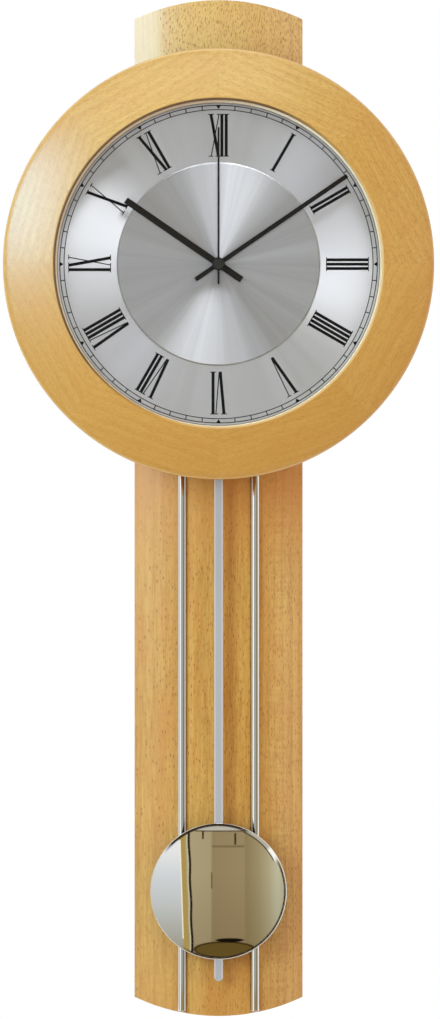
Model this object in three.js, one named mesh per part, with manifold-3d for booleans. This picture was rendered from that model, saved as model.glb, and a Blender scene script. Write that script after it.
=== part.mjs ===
// Radio-controlled pendulum wall clock: a beech backboard, a turned beech ring round a metal dial,
// a two-motor quartz movement and a swinging pendulum that hangs between the board and the dial.
//
// Millimetres. Inside the clock group x runs right, y runs up and z is the depth from the wall
// towards the viewer. The group is turned once at the end, so the finished part has +Z up, its
// front faces -Y and its back lies on the wall plane y = 0. The origin is the wall screw.

import * as THREE from 'three';
import { mergeVertices } from 'three/addons/utils/BufferGeometryUtils.js';
import Module from 'manifold-3d';

const wasm = await Module();
wasm.setup();

// Clearances
const SEAT = 0.3; // between two pieces that rest on each other
const RUN = 0.3; // radial, between a turning piece and what it turns in
const PUSH = 0.5; // round a button in its hole
const BITE = 0.5; // how far a feature reaches into the piece that it grows from
const THROUGH = 1; // how far a cutter runs past the piece that it cuts

// Backboard
const BOARD_HEIGHT = 700;
const BOARD_WIDTH = 116;
const BOARD_EDGE = 13; // thickness at the long sides
const BOARD_CROWN = 26; // thickness on the centre line
const BOARD_END_RISE = 12.4; // how far the curved ends stand out past the corners
const HANG_DROP = 38; // wall screw below the top of the board
const HEAD_DROP = 183.5; // dial centre below the top of the board

// Hanger plate and its two screws
const HANGER_WIDTH = 46;
const HANGER_HEIGHT = 26;
const HANGER_THICK = 1.5;
const HANGER_SCREW_SPACING = 34;
const KEYHOLE_SLOT = 5; // width of the narrow slot
const KEYHOLE_ENTRY = 10; // diameter of the wide entry
const KEYHOLE_DROP = 9; // entry centre below the slot's top
const HANGER_CORNER = 2;
const SCREW_HEAD_DEPTH = 7; // room behind the plate for the head of the wall screw
const SMALL_SCREW = 3; // shank of the hanger and carrier screws
const SMALL_SCREW_LENGTH = 11;

// Two polished rods let into the board
const ROD_DIAMETER = 6;
const ROD_SPACING = 50.4;
const ROD_SINK = 2; // how deep a rod lies below the face of the board
const ROD_TOP_DROP = 100; // top of the rods below the dial centre
const ROD_END_INSET = 1; // from the end of the rod to the end of the board
const ROD_CHAMFER = 0.6;

// Pendulum
const BAR_GAP = 8; // from the crown of the board to the bar
const BAR_WIDTH = 6;
const BAR_THICK = 1.5;
const BAR_TIP_DROP = 492; // point of the bar below the dial centre
const BAR_TIP_POINT = 2.4;
const BOB_DROP = 430; // centre of the bob below the dial centre
const BOB_DIAMETER = 93.8;
const BOB_RIM = 2.2;
const BOB_DOME = 12.5;
const BOB_WALL = 0.8;
const BOB_BACK_THICK = 2;
const BOB_SPINE_WIDTH = 16;
const BOB_SPINE_LENGTH = 72;
const BOB_CLIP_WIDTH = 14;
const BOB_CLIP_THICK = 0.8;
const PIVOT_RISE = 16; // pendulum pivot above the dial centre
const PIVOT_PIN = 2.4;
const PIN_HEAD_THICK = 1;
const PIVOT_BOSS_WALL = 1.8; // round the pin where the case holds it
const PIVOT_BOSS_HEIGHT = 2.4;
const LEVER_WIDTH = 8;
const LEVER_THICK = 2.5;
const HOOK_DROP = 19; // hook below the dial centre
const HOOK_DIAMETER = 2.6;
const HOOK_LIP = 0.8; // how far the hook's head stands out past its neck
const HOOK_LIP_EDGE = 0.4;
const HOOK_HEAD_THICK = 1.2;
const MAGNET_DROP = 11;
const MAGNET_DIAMETER = 6.4;
const MAGNET_THICK = 2;

// Movement case
const CASE_GAP = 7.5; // from the pendulum bar to the back of the case
const CASE_DEPTH = 24;
const CASE_WIDTH = 76;
const CASE_TOP = 42; // above the dial centre
const CASE_BOTTOM = 40; // below the dial centre
const CASE_WALL = 1.5;
const CASE_CORNER = 5;
const CASE_SPLIT = 12; // depth of the rear shell
const BOSS_RADIUS = 1.9; // cups that hold the arbor ends
const BOSS_HEIGHT = 1.2;
const PIVOT_RADIUS = 0.45;
const ARBOR_RADIUS = 0.7;
const BUSH_RADIUS = 4;
const WASHER_THICK = 1;
const WASHER_RADIUS = 9;
const NUT_ACROSS = 12;
const NUT_SIDES = 6;
const NUT_THICK = 2;
const NUT_CLEAR = 1.5; // round the nut in the dial
const BUSH_PROUD = 0.2; // bush past the nut
const MINUTE_TUBE_WALL = 0.85;
const HOUR_TUBE_WALL = 0.6;

// Battery, a standard cell 14.5 mm across and 50.5 mm long
const CELL_RADIUS = 7.25;
const CELL_LENGTH = 50.5;
const CELL_NUB = 1.2;
const CELL_NUB_RADIUS = 2.6;
const CELL_DROP = 28.4; // axis of the cell below the dial centre
const CONTACT_THICK = 0.5;
const CONTACT_WIDTH = 9;
const CONTACT_CONE = 1.2; // height of the pressed cone that meets the flat end of the cell
const CONTACT_CONE_BASE = 3.5; // radius
const CONTACT_CONE_TIP = 1;
const BAY_WALL = 1.2;

// Wheels
const ROTOR_MODULE = 0.5; // rotor pinion and idler wheel
const HAND_MODULE = 0.6; // idler pinion and hand wheel, coarser so that the idler clears the arbor
const MOTION_MODULE = 0.5; // cannon pinion and motion wheel
const WHEEL_THICK = 1.2; // also the step from one wheel to the next
const ROTOR_PINION_LENGTH = 1.8;
const HUB_RADIUS = 1.4;
const PRESSURE_ANGLE = THREE.MathUtils.degToRad(25);
const BACKLASH = 0.16;
const LEAVES = 6; // every rotor and idler pinion
const IDLER_TEETH = 36;
const HAND_WHEEL_TEETH = 30; // seconds wheel and centre wheel
const CANNON_TEETH = 10;
const MOTION_WHEEL_TEETH = 30;
const MOTION_PINION_TEETH = 8;
const HOUR_WHEEL_TEETH = 32;
const PINION_ADDENDUM = 0.9; // in modules, as the next three
const PINION_DEDENDUM = 0.8;
const WHEEL_ADDENDUM = 0.55;
const WHEEL_DEDENDUM = 1.15;
const ROTOR_MAGNET_RADIUS = 3;
const ROTOR_MAGNET_LENGTH = 3;
const SECONDS_IDLER_ANGLE = 135; // degrees about the hand axis, anticlockwise from three o'clock
const SECONDS_ROTOR_ANGLE = 180; // about its idler, as for the minutes rotor
const MINUTES_IDLER_ANGLE = 45;
const MINUTES_ROTOR_ANGLE = 0;
const MOTION_ANGLE = 270;

// Motors
const STATOR_HEIGHT = 27;
const STATOR_WEB = 2.4; // iron left between the rotor's hole and the edge
const STATOR_THICK = 1.2;
const STATOR_LEG = 5;
const STATOR_AIR = 0.5; // round the rotor
const COIL_RADIUS = 3.2;
const COIL_LENGTH = 15;
const CORE_WIDTH = 2.4;
const POST_RADIUS = 1.4; // posts that hold the stators and the circuit board

// Circuit board, aerial, buttons and the coil that drives the pendulum
const CIRCUIT_WIDTH = 21;
const CIRCUIT_HEIGHT = 22;
const CIRCUIT_THICK = 1.2;
const CIRCUIT_POST_INSET = 2;
const AERIAL_RADIUS = 4;
const AERIAL_LENGTH = 62;
const AERIAL_RISE = 34.4;
const AERIAL_COIL_RADIUS = 5.2;
const AERIAL_COIL_LENGTH = 24;
const CRADLE_THICK = 2;
const CRADLE_SPACING = 41.4;
const CRADLE_WALL = 1; // below the aerial
const BUTTON_RADIUS = 2.4;
const BUTTON_PROUD = 1.4;
const BUTTON_EDGE = 0.4; // chamfer
const BUTTON_TRAVEL = 0.8;
const BUTTON_FLANGE = 3.4;
const BUTTON_FLANGE_THICK = 1.2;
const BUTTON_SPACING = 9;
const DRIVE_COIL_RADIUS = 5.6;
const DRIVE_COIL_BORE = 2;
const DRIVE_COIL_THICK = 3;

// Dial, hands and glass
const CARRIER_THICK = 4;
const DIAL_THICK = 1;
const CENTRE_DISC_RADIUS = 69.6;
const CENTRE_DISC_RISE = 2.3;
const CENTRE_DISC_SHEET = 0.8;
const CENTRE_DISC_BEVEL = 1.6;
const HAND_GAP = 2; // from the raised disc to the hour hand
const HAND_PITCH = 3; // from one hand to the next
const HAND_THICK = 0.8;
const HAND_BOSS = 4.4;
const HAND_BOSS_PROUD = 0.6; // on both faces of the hand
const HOUR_LENGTH = 76.8;
const HOUR_WIDTH = 4.5;
const MINUTE_LENGTH = 106.3;
const MINUTE_WIDTH = 3;
const SECOND_LENGTH = 93;
const SECOND_WIDTH = 1.3;
const LONG_TAIL = 19;
const SECOND_TAIL = 14;
const HOUR_ANGLE = 304.5; // clockwise from twelve, at nine minutes past ten
const MINUTE_ANGLE = 55.6;
const SECOND_ANGLE = 0;
const GLASS_CLEAR = 3.6; // from the second hand's cap to the glass
const GLASS_THICK = 2.5;

// Turned ring
const SIGHT_RADIUS = 111; // opening in front of the glass
const RING_WIDTH = 36; // from the opening to the outer edge
const GLASS_LAP = 4; // how far the lip covers the glass
const CARRIER_LAP = 10; // how far the carrier covers the shoulder behind the dial
const LIP_THICK = 5;
const FACE_DROP = 12.5; // how far the sloping face falls to the outer edge
const FACE_BULGE = 1.2;
const RING_EDGE_ROUND = 1.6;
const RING_SKIRT = 9; // how far the ring reaches behind the carrier
const SPACER_WALL = 2.8;

// Spacer battens and the long screws through board, batten and ring
const BATTEN_WIDTH = 14;
const BATTEN_PAST_SCREW = 6; // from the middle of a long screw to the end of a batten
const BATTEN_SIDE_GAP = 2.5; // between the movement case and a batten
const LONG_SCREW = 4;
const LONG_SCREW_BITE = 14; // how far a long screw enters the ring
const LONG_SCREW_HEAD = 8;
const CARRIER_SCREW_HEAD = 6;
const CARRIER_SCREW_HEAD_THICK = 2;
const CARRIER_SCREW_ROUND = 0.6; // worked edge of the head
const CARRIER_SCREW_ANGLES = [45, 135, 225, 315];

// Opening in the board behind the movement
const WINDOW_MARGIN = 1; // the opening is this much narrower than the case on each side
const WINDOW_ABOVE = 47;
const WINDOW_BELOW = 45;
const WINDOW_CORNER = 6;

// Facets of round pieces
const LARGE_FACETS = 48;
const MEDIUM_FACETS = 24;
const SMALL_FACETS = 16;
const FINE_FACETS = 8;
const CORNER_FACETS = 4; // for each rounded corner
const DOME_STEPS = 4;
const FACE_STEPS = 3;

// Heights and depths that follow
const boardTop = HANG_DROP;
const boardBottom = HANG_DROP - BOARD_HEIGHT;
const headY = HANG_DROP - HEAD_DROP;
const barBack = BOARD_CROWN + BAR_GAP;
const barFront = barBack + BAR_THICK;
const caseBack = barFront + CASE_GAP;
const caseFront = caseBack + CASE_DEPTH;
const caseSplit = caseBack + CASE_SPLIT;
const innerBack = caseBack + CASE_WALL;
const innerFront = caseFront - CASE_WALL;
const washerBack = caseFront + SEAT;
const carrierBack = washerBack + WASHER_THICK + SEAT;
const carrierFront = carrierBack + CARRIER_THICK;
const dialBack = carrierFront + SEAT;
const dialFront = dialBack + DIAL_THICK;
const discBack = dialFront + SEAT;
const discFront = dialFront + CENTRE_DISC_RISE;
const nutBack = carrierFront + SEAT;
const nutFront = nutBack + NUT_THICK;
const hourBack = discFront + HAND_GAP;
const minuteBack = hourBack + HAND_PITCH;
const secondBack = minuteBack + HAND_PITCH;
const secondCapFront = secondBack + HAND_THICK + HAND_BOSS_PROUD;
const glassBack = secondCapFront + GLASS_CLEAR;
const glassFront = glassBack + GLASS_THICK;
const lipBack = glassFront + SEAT;
const ringFront = lipBack + LIP_THICK;
const ringBack = carrierBack - RING_SKIRT;
const glassRadius = SIGHT_RADIUS + GLASS_LAP;
const carrierRadius = glassRadius + CARRIER_LAP;
const ringRadius = SIGHT_RADIUS + RING_WIDTH;
const caseHalf = CASE_WIDTH / 2;
const battenInner = caseHalf + BATTEN_SIDE_GAP;
const battenOuter = battenInner + BATTEN_WIDTH;
const battenMiddle = (battenInner + battenOuter) / 2;
const longScrewCircle = (carrierRadius + ringRadius) / 2;
const longScrewRise = Math.sqrt(longScrewCircle ** 2 - battenMiddle ** 2);
const battenHalf = longScrewRise + BATTEN_PAST_SCREW;
const endRadius = (BOARD_WIDTH ** 2 / 4 + BOARD_END_RISE ** 2) / (2 * BOARD_END_RISE);
const crownRise = BOARD_CROWN - BOARD_EDGE;
const crownRadius = (BOARD_WIDTH ** 2 / 4 + crownRise ** 2) / (2 * crownRise);
const crownCentre = BOARD_CROWN - crownRadius;
const crownDepth = (x) => crownCentre + Math.sqrt(crownRadius ** 2 - x ** 2);
const endInset = (x) => endRadius - Math.sqrt(endRadius ** 2 - x ** 2);

const finishes = {
  beech: { color: 0xd9b274, roughness: 0.45, metalness: 0 },
  chrome: { color: 0xd8d8d6, roughness: 0.08, metalness: 1 },
  aluminium: { color: 0xb9bcbe, roughness: 0.35, metalness: 1 },
  steel: { color: 0x9a9c9f, roughness: 0.4, metalness: 1 },
  brass: { color: 0xc9a24e, roughness: 0.3, metalness: 1 },
  black: { color: 0x1b1a19, roughness: 0.4, metalness: 0 },
  casePlastic: { color: 0x2a2b2d, roughness: 0.5, metalness: 0 },
  wheelPlastic: { color: 0xe9e6da, roughness: 0.5, metalness: 0 },
  rubber: { color: 0x222222, roughness: 0.8, metalness: 0 },
  hardboard: { color: 0x7a5a3c, roughness: 0.8, metalness: 0 },
  glass: { color: 0xe8f2f0, roughness: 0.03, metalness: 0 },
  copper: { color: 0xb06a3a, roughness: 0.4, metalness: 1 },
  ferrite: { color: 0x3b3a3a, roughness: 0.6, metalness: 0 },
  circuit: { color: 0x2e6b3c, roughness: 0.5, metalness: 0 },
  cell: { color: 0x8f8f92, roughness: 0.4, metalness: 0 },
  button: { color: 0xd8d6cf, roughness: 0.5, metalness: 0 },
};

// A closed geometry with shared corners and its faces pointing out.
function closed(geometry) {
  const plain = geometry.clone();
  plain.deleteAttribute('normal');
  plain.deleteAttribute('uv');
  const merged = mergeVertices(plain, 1e-4);
  const corners = merged.getAttribute('position');
  const from = merged.getIndex();
  const a = new THREE.Vector3();
  const b = new THREE.Vector3();
  const c = new THREE.Vector3();
  const triangles = [];
  let volume = 0;
  for (let i = 0; i < from.count; i += 3) {
    const [p, q, r] = [from.getX(i), from.getX(i + 1), from.getX(i + 2)];
    if (p !== q && q !== r && r !== p) {
      triangles.push([p, q, r]);
      a.fromBufferAttribute(corners, p);
      b.fromBufferAttribute(corners, q);
      c.fromBufferAttribute(corners, r);
      volume += a.dot(b.cross(c));
    }
  }
  const ordered = volume < 0 ? triangles.map(([p, q, r]) => [p, r, q]) : triangles;
  merged.setIndex(ordered.flat());
  return merged;
}

function toSolid(geometry) {
  const merged = closed(geometry);
  return new wasm.Manifold(new wasm.Mesh({
    numProp: 3,
    vertProperties: new Float32Array(merged.getAttribute('position').array),
    triVerts: new Uint32Array(merged.getIndex().array),
  }));
}

function toGeometry(solid) {
  const mesh = solid.getMesh();
  const geometry = new THREE.BufferGeometry();
  geometry.setAttribute('position', new THREE.BufferAttribute(mesh.vertProperties, 3));
  geometry.setIndex(new THREE.BufferAttribute(mesh.triVerts, 1));
  return geometry;
}

const joined = (...geometries) => toGeometry(
  geometries.slice(1).reduce((sum, part) => sum.add(toSolid(part)), toSolid(geometries[0])),
);

const cut = (geometry, ...tools) => toGeometry(
  tools.reduce((rest, tool) => rest.subtract(toSolid(tool)), toSolid(geometry)),
);

const common = (one, other) => toGeometry(toSolid(one).intersect(toSolid(other)));

// A flat outline given thickness from one depth to another.
function plate(shape, from, to, facets = SMALL_FACETS) {
  const depth = to - from;
  const options = { depth, bevelEnabled: false, curveSegments: Math.ceil(facets / 2) };
  return new THREE.ExtrudeGeometry(shape, options).translate(0, 0, from);
}

// A profile of [radius, depth] corners turned about the depth axis.
function turned(profile, facets = MEDIUM_FACETS) {
  const points = profile.map(([radius, depth]) => new THREE.Vector2(radius, depth));
  points.push(points[0].clone());
  return new THREE.LatheGeometry(points, facets).rotateX(Math.PI / 2);
}

function disc(radius, from, to, facets = SMALL_FACETS) {
  return turned([[0, from], [radius, from], [radius, to], [0, to]], facets);
}

function washer(bore, radius, from, to, facets = MEDIUM_FACETS) {
  return turned([[bore, from], [radius, from], [radius, to], [bore, to]], facets);
}

function box(left, right, bottom, top, from, to) {
  const block = new THREE.BoxGeometry(right - left, top - bottom, to - from);
  return block.translate((left + right) / 2, (bottom + top) / 2, (from + to) / 2);
}

// A round bar along x.
function crossBar(radius, left, right, facets = SMALL_FACETS) {
  return disc(radius, left, right, facets).rotateY(Math.PI / 2);
}

function roundedOutline(left, right, bottom, top, corner) {
  const shape = new THREE.Shape();
  const quarter = Math.PI / 2;
  shape.absarc(right - corner, bottom + corner, corner, -quarter, 0, false);
  shape.absarc(right - corner, top - corner, corner, 0, quarter, false);
  shape.absarc(left + corner, top - corner, corner, quarter, 2 * quarter, false);
  shape.absarc(left + corner, bottom + corner, corner, 2 * quarter, 3 * quarter, false);
  shape.closePath();
  return shape;
}

function holeIn(shape, x, y, radius) {
  const hole = new THREE.Path();
  hole.absarc(x, y, radius, 0, 2 * Math.PI, true);
  shape.holes.push(hole);
}

const clock = new THREE.Group();
const head = new THREE.Group();
head.position.y = headY;
clock.add(head);

function add(group, name, finish, geometry) {
  const material = new THREE.MeshStandardMaterial({ ...finishes[finish], flatShading: true });
  const mesh = new THREE.Mesh(closed(geometry), material);
  mesh.name = name;
  group.add(mesh);
  return mesh;
}

// The backboard's cross-section, flat behind and crowned in front, grown in front by a margin.
function boardSection(left, right, margin, front) {
  const radius = crownRadius + margin;
  const angleAt = (x) => Math.PI / 2 - Math.asin(x / radius);
  const shape = new THREE.Shape();
  if (front === undefined) {
    shape.moveTo(left, 0);
    shape.lineTo(right, 0);
    shape.absarc(0, crownCentre, radius, angleAt(right), angleAt(left), false);
  } else {
    shape.moveTo(right, front);
    shape.absarc(0, crownCentre, radius, angleAt(right), angleAt(left), false);
    shape.lineTo(left, front);
  }
  shape.closePath();
  return shape;
}

// A section in x and depth drawn out along y.
function drawnDown(shape, bottom, top, facets) {
  return plate(shape, 0, top - bottom, facets).rotateX(Math.PI / 2).translate(0, top, 0);
}

function boardOutline() {
  const half = BOARD_WIDTH / 2;
  const spread = Math.asin(half / endRadius);
  const up = Math.PI / 2;
  const shape = new THREE.Shape();
  shape.absarc(0, boardTop - endRadius, endRadius, up - spread, up + spread, false);
  shape.absarc(0, boardBottom + endRadius, endRadius, -up - spread, -up + spread, false);
  shape.closePath();
  return shape;
}

const rodX = ROD_SPACING / 2;
const rodRadius = ROD_DIAMETER / 2;
const rodDepth = crownDepth(rodX) - ROD_SINK + rodRadius;
const rodTop = headY - ROD_TOP_DROP;
const rodBottom = boardBottom + endInset(rodX) + ROD_END_INSET;
const longScrewSpots = [-1, 1].flatMap((side) => [-1, 1].map((end) => (
  { x: side * battenMiddle, y: headY + end * longScrewRise }
)));
const hangerSpots = [-HANGER_SCREW_SPACING / 2, HANGER_SCREW_SPACING / 2];
const hangerMiddle = -KEYHOLE_DROP / 2;
const smallRadius = SMALL_SCREW / 2;
const longRadius = LONG_SCREW / 2;

function countersunkScrew(shank, headRadius, from, to) {
  const cone = headRadius - shank;
  return turned([
    [0, from], [headRadius, from], [shank, from + cone], [shank, to - shank], [0, to],
  ], FINE_FACETS);
}

function countersunkHole(shank, headRadius, from, to) {
  const cone = headRadius - shank;
  return turned([
    [0, from - THROUGH], [headRadius + SEAT, from - THROUGH], [headRadius + SEAT, from + SEAT / 2],
    [shank + SEAT, from + cone + SEAT / 2], [shank + SEAT, to], [0, to],
  ], FINE_FACETS);
}

// Backboard
const groove = new THREE.CylinderGeometry(
  rodRadius + SEAT, rodRadius + SEAT, rodTop - boardBottom + ROD_DIAMETER, SMALL_FACETS,
).translate(0, rodTop + SEAT - (rodTop - boardBottom + ROD_DIAMETER) / 2, rodDepth);
const windowHalf = caseHalf - WINDOW_MARGIN;
const windowTop = headY + WINDOW_ABOVE;
const windowBottom = headY - WINDOW_BELOW;
const windowOutline = roundedOutline(-windowHalf, windowHalf, windowBottom, windowTop, WINDOW_CORNER);
const platePocket = box(
  -HANGER_WIDTH / 2 - SEAT, HANGER_WIDTH / 2 + SEAT,
  hangerMiddle - HANGER_HEIGHT / 2 - SEAT, hangerMiddle + HANGER_HEIGHT / 2 + SEAT,
  -THROUGH, HANGER_THICK + 2 * SEAT,
);
const headPocket = box(
  -KEYHOLE_ENTRY, KEYHOLE_ENTRY,
  -KEYHOLE_DROP - KEYHOLE_ENTRY / 2, KEYHOLE_ENTRY / 2,
  0, HANGER_THICK + SCREW_HEAD_DEPTH,
);
const hangerScrewHole = disc(smallRadius + SEAT, 0, HANGER_THICK + SMALL_SCREW_LENGTH, FINE_FACETS);
const longScrewHole = countersunkHole(longRadius, LONG_SCREW_HEAD / 2, 0, BOARD_CROWN);
add(clock, 'back_board', 'beech', cut(
  common(
    drawnDown(
      boardSection(-BOARD_WIDTH / 2, BOARD_WIDTH / 2, 0),
      boardBottom - THROUGH, boardTop + THROUGH, SMALL_FACETS,
    ),
    plate(boardOutline(), 0, BOARD_CROWN + THROUGH, SMALL_FACETS),
  ),
  plate(windowOutline, -THROUGH, BOARD_CROWN + THROUGH, CORNER_FACETS),
  groove.clone().translate(-rodX, 0, 0),
  groove.clone().translate(rodX, 0, 0),
  platePocket,
  headPocket,
  ...hangerSpots.map((x) => hangerScrewHole.clone().translate(x, hangerMiddle, 0)),
  ...longScrewSpots.map(({ x, y }) => longScrewHole.clone().translate(x, y, 0)),
));

// Rods, turned with a small chamfer at each end
const rodProfile = [
  [0, rodBottom],
  [rodRadius - ROD_CHAMFER, rodBottom],
  [rodRadius, rodBottom + ROD_CHAMFER],
  [rodRadius, rodTop - ROD_CHAMFER],
  [rodRadius - ROD_CHAMFER, rodTop],
  [0, rodTop],
];
for (const [name, x] of [['rod_left', -rodX], ['rod_right', rodX]]) {
  const points = rodProfile.map(([radius, y]) => new THREE.Vector2(radius, y));
  add(clock, name, 'chrome', new THREE.LatheGeometry(points, SMALL_FACETS).translate(x, 0, rodDepth));
}

// Hanger plate with its keyhole. The wall screw's shank lies at the top of the narrow slot.
const hangerOutline = roundedOutline(
  -HANGER_WIDTH / 2, HANGER_WIDTH / 2,
  hangerMiddle - HANGER_HEIGHT / 2, hangerMiddle + HANGER_HEIGHT / 2, HANGER_CORNER,
);
const keyhole = joined(
  disc(KEYHOLE_ENTRY / 2, -THROUGH, HANGER_THICK + THROUGH).translate(0, -KEYHOLE_DROP, 0),
  box(
    -KEYHOLE_SLOT / 2, KEYHOLE_SLOT / 2, -KEYHOLE_DROP, 0, -THROUGH, HANGER_THICK + THROUGH,
  ),
  disc(KEYHOLE_SLOT / 2, -THROUGH, HANGER_THICK + THROUGH),
);
const hangerHole = countersunkHole(smallRadius, SMALL_SCREW, 0, HANGER_THICK + THROUGH);
const hangerScrew = countersunkScrew(smallRadius, SMALL_SCREW, 0, SMALL_SCREW_LENGTH);
add(clock, 'hanger_plate', 'steel', cut(
  plate(hangerOutline, 0, HANGER_THICK, CORNER_FACETS).translate(0, 0, SEAT),
  keyhole,
  ...hangerSpots.map((x) => hangerHole.clone().translate(x, hangerMiddle, SEAT)),
));
for (const [index, x] of hangerSpots.entries()) {
  const placed = hangerScrew.clone().translate(x, hangerMiddle, SEAT);
  add(clock, `hanger_screw_${index + 1}`, 'steel', placed);
}

// Spacer battens between the board and the ring, their backs shaped to the crown of the board
const battenFront = ringBack - SEAT;
const battenHole = disc(longRadius + SEAT, 0, ringBack, FINE_FACETS);
for (const [name, side] of [['spacer_batten_left', -1], ['spacer_batten_right', 1]]) {
  const [left, right] = side < 0 ? [-battenOuter, -battenInner] : [battenInner, battenOuter];
  add(clock, name, 'beech', cut(
    drawnDown(
      boardSection(left, right, SEAT, battenFront),
      headY - battenHalf, headY + battenHalf, CORNER_FACETS,
    ),
    ...longScrewSpots.filter(({ x }) => x * side > 0)
      .map(({ x, y }) => battenHole.clone().translate(x, y, 0)),
  ));
}

// Turned ring. Its face slopes to the outer edge with a slight bulge.
const shoulder = carrierFront + SEAT;
const faceRun = ringRadius - RING_EDGE_ROUND - SIGHT_RADIUS;
const facePoints = [];
for (let step = 0; step <= FACE_STEPS; step += 1) {
  const share = step / FACE_STEPS;
  facePoints.push([
    SIGHT_RADIUS + faceRun * share,
    ringFront - FACE_DROP * share + FACE_BULGE * 4 * share * (1 - share),
  ]);
}
const ringProfile = [
  [SIGHT_RADIUS, lipBack],
  ...facePoints,
  [ringRadius, ringFront - FACE_DROP - RING_EDGE_ROUND],
  [ringRadius, ringBack],
  [carrierRadius + SEAT, ringBack],
  [carrierRadius + SEAT, shoulder],
  [glassRadius + SEAT, shoulder],
  [glassRadius + SEAT, lipBack],
];
const carrierScrewRadius = (glassRadius + carrierRadius) / 2 + SEAT / 2;
const carrierScrewSpots = CARRIER_SCREW_ANGLES.map((degrees) => {
  const angle = THREE.MathUtils.degToRad(degrees);
  return { x: carrierScrewRadius * Math.cos(angle), y: carrierScrewRadius * Math.sin(angle) };
});
const carrierScrewTip = carrierBack + SMALL_SCREW_LENGTH;
const longScrewTip = ringBack + LONG_SCREW_BITE;
const ringScrewHole = disc(
  smallRadius + SEAT, shoulder - THROUGH, carrierScrewTip + SEAT, FINE_FACETS,
);
const ringLongHole = disc(
  longRadius + SEAT, ringBack - THROUGH, longScrewTip + SEAT, FINE_FACETS,
);
add(head, 'bezel_ring', 'beech', cut(
  turned(ringProfile, LARGE_FACETS),
  ...carrierScrewSpots.map(({ x, y }) => ringScrewHole.clone().translate(x, y, 0)),
  ...longScrewSpots.map(({ x, y }) => ringLongHole.clone().translate(x, y - headY, 0)),
));
const longScrew = countersunkScrew(longRadius, LONG_SCREW_HEAD / 2, SEAT, longScrewTip);
for (const [index, { x, y }] of longScrewSpots.entries()) {
  add(clock, `ring_screw_${index + 1}`, 'steel', longScrew.clone().translate(x, y, 0));
}

// Carrier disc behind the dial, screwed to the shoulder of the ring
const carrierHole = disc(
  smallRadius + SEAT, carrierBack - THROUGH, carrierFront + THROUGH, FINE_FACETS,
);
add(head, 'dial_carrier', 'hardboard', cut(
  washer(BUSH_RADIUS + SEAT, carrierRadius, carrierBack, carrierFront, LARGE_FACETS),
  ...carrierScrewSpots.map(({ x, y }) => carrierHole.clone().translate(x, y, 0)),
));
const screwHeadFront = carrierBack - SEAT;
const carrierScrew = turned([
  [0, screwHeadFront - CARRIER_SCREW_HEAD_THICK],
  [CARRIER_SCREW_HEAD / 2 - CARRIER_SCREW_ROUND, screwHeadFront - CARRIER_SCREW_HEAD_THICK],
  [CARRIER_SCREW_HEAD / 2, screwHeadFront - CARRIER_SCREW_HEAD_THICK / 2],
  [CARRIER_SCREW_HEAD / 2, screwHeadFront],
  [smallRadius, screwHeadFront],
  [smallRadius, carrierScrewTip - smallRadius],
  [0, carrierScrewTip],
], FINE_FACETS);
for (const [index, { x, y }] of carrierScrewSpots.entries()) {
  add(head, `carrier_screw_${index + 1}`, 'steel', carrierScrew.clone().translate(x, y, 0));
}

// Dial plate, with a centre hole that clears the movement's nut
const nutCorner = NUT_ACROSS / 2 / Math.cos(Math.PI / NUT_SIDES);
add(head, 'dial_plate', 'aluminium', (
  washer(nutCorner + NUT_CLEAR, glassRadius, dialBack, dialFront, LARGE_FACETS)
));

// Tubes on the hand axis, one inside the other
const secondArbor = PIVOT_RADIUS;
const minuteBore = secondArbor + RUN;
const minuteTube = minuteBore + MINUTE_TUBE_WALL;
const hourBore = minuteTube + RUN;
const hourTube = hourBore + HOUR_TUBE_WALL;
const bushBore = hourTube + RUN;

// Raised centre disc, pressed from sheet with a bevelled rim
const discHole = hourTube + 2 * RUN;
const bevelTop = CENTRE_DISC_RADIUS - CENTRE_DISC_BEVEL;
add(head, 'dial_centre', 'aluminium', turned([
  [discHole, discFront - CENTRE_DISC_SHEET],
  [discHole, discFront],
  [bevelTop, discFront],
  [CENTRE_DISC_RADIUS, discBack],
  [CENTRE_DISC_RADIUS - CENTRE_DISC_SHEET, discBack],
  [bevelTop - CENTRE_DISC_SHEET / 2, discFront - CENTRE_DISC_SHEET],
], LARGE_FACETS));

// Spacer ring that keeps the glass off the dial, and the glass
add(head, 'spacer_ring', 'aluminium', (
  washer(glassRadius - SPACER_WALL, glassRadius, dialFront + SEAT, glassBack - SEAT, LARGE_FACETS)
));
add(head, 'glass_pane', 'glass', disc(glassRadius, glassBack, glassFront, LARGE_FACETS));

// Toothed wheel outline: straight chords of an involute, from root to tip
const involute = (angle) => Math.tan(angle) - angle;

function toothed(teeth, size, phase, flank) {
  const pitch = teeth * size / 2;
  const base = pitch * Math.cos(PRESSURE_ANGLE);
  const small = teeth <= CANNON_TEETH;
  const tip = pitch + size * (small ? PINION_ADDENDUM : WHEEL_ADDENDUM);
  const root = pitch - size * (small ? PINION_DEDENDUM : WHEEL_DEDENDUM);
  const halfAt = (radius) => {
    const slope = Math.acos(Math.min(1, base / Math.max(radius, base)));
    const spread = involute(PRESSURE_ANGLE) - involute(slope);
    return Math.PI / (2 * teeth) - BACKLASH / (2 * pitch) + spread;
  };
  const radii = flank.map((share) => root + (tip - root) * share);
  const points = [];
  for (let tooth = 0; tooth < teeth; tooth += 1) {
    const middle = phase + 2 * Math.PI * tooth / teeth;
    for (const radius of radii) {
      const angle = middle - halfAt(radius);
      points.push(new THREE.Vector2(radius * Math.cos(angle), radius * Math.sin(angle)));
    }
    for (const radius of [...radii].reverse()) {
      const angle = middle + halfAt(radius);
      points.push(new THREE.Vector2(radius * Math.cos(angle), radius * Math.sin(angle)));
    }
  }
  return new THREE.Shape(points);
}

const wheel = (teeth, size, phase, from, to) => (
  plate(toothed(teeth, size, phase, [0, 1]), from, to)
);
const pinion = (teeth, size, phase, from, to) => (
  plate(toothed(teeth, size, phase, [0, 0.5, 1]), from, to)
);

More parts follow.
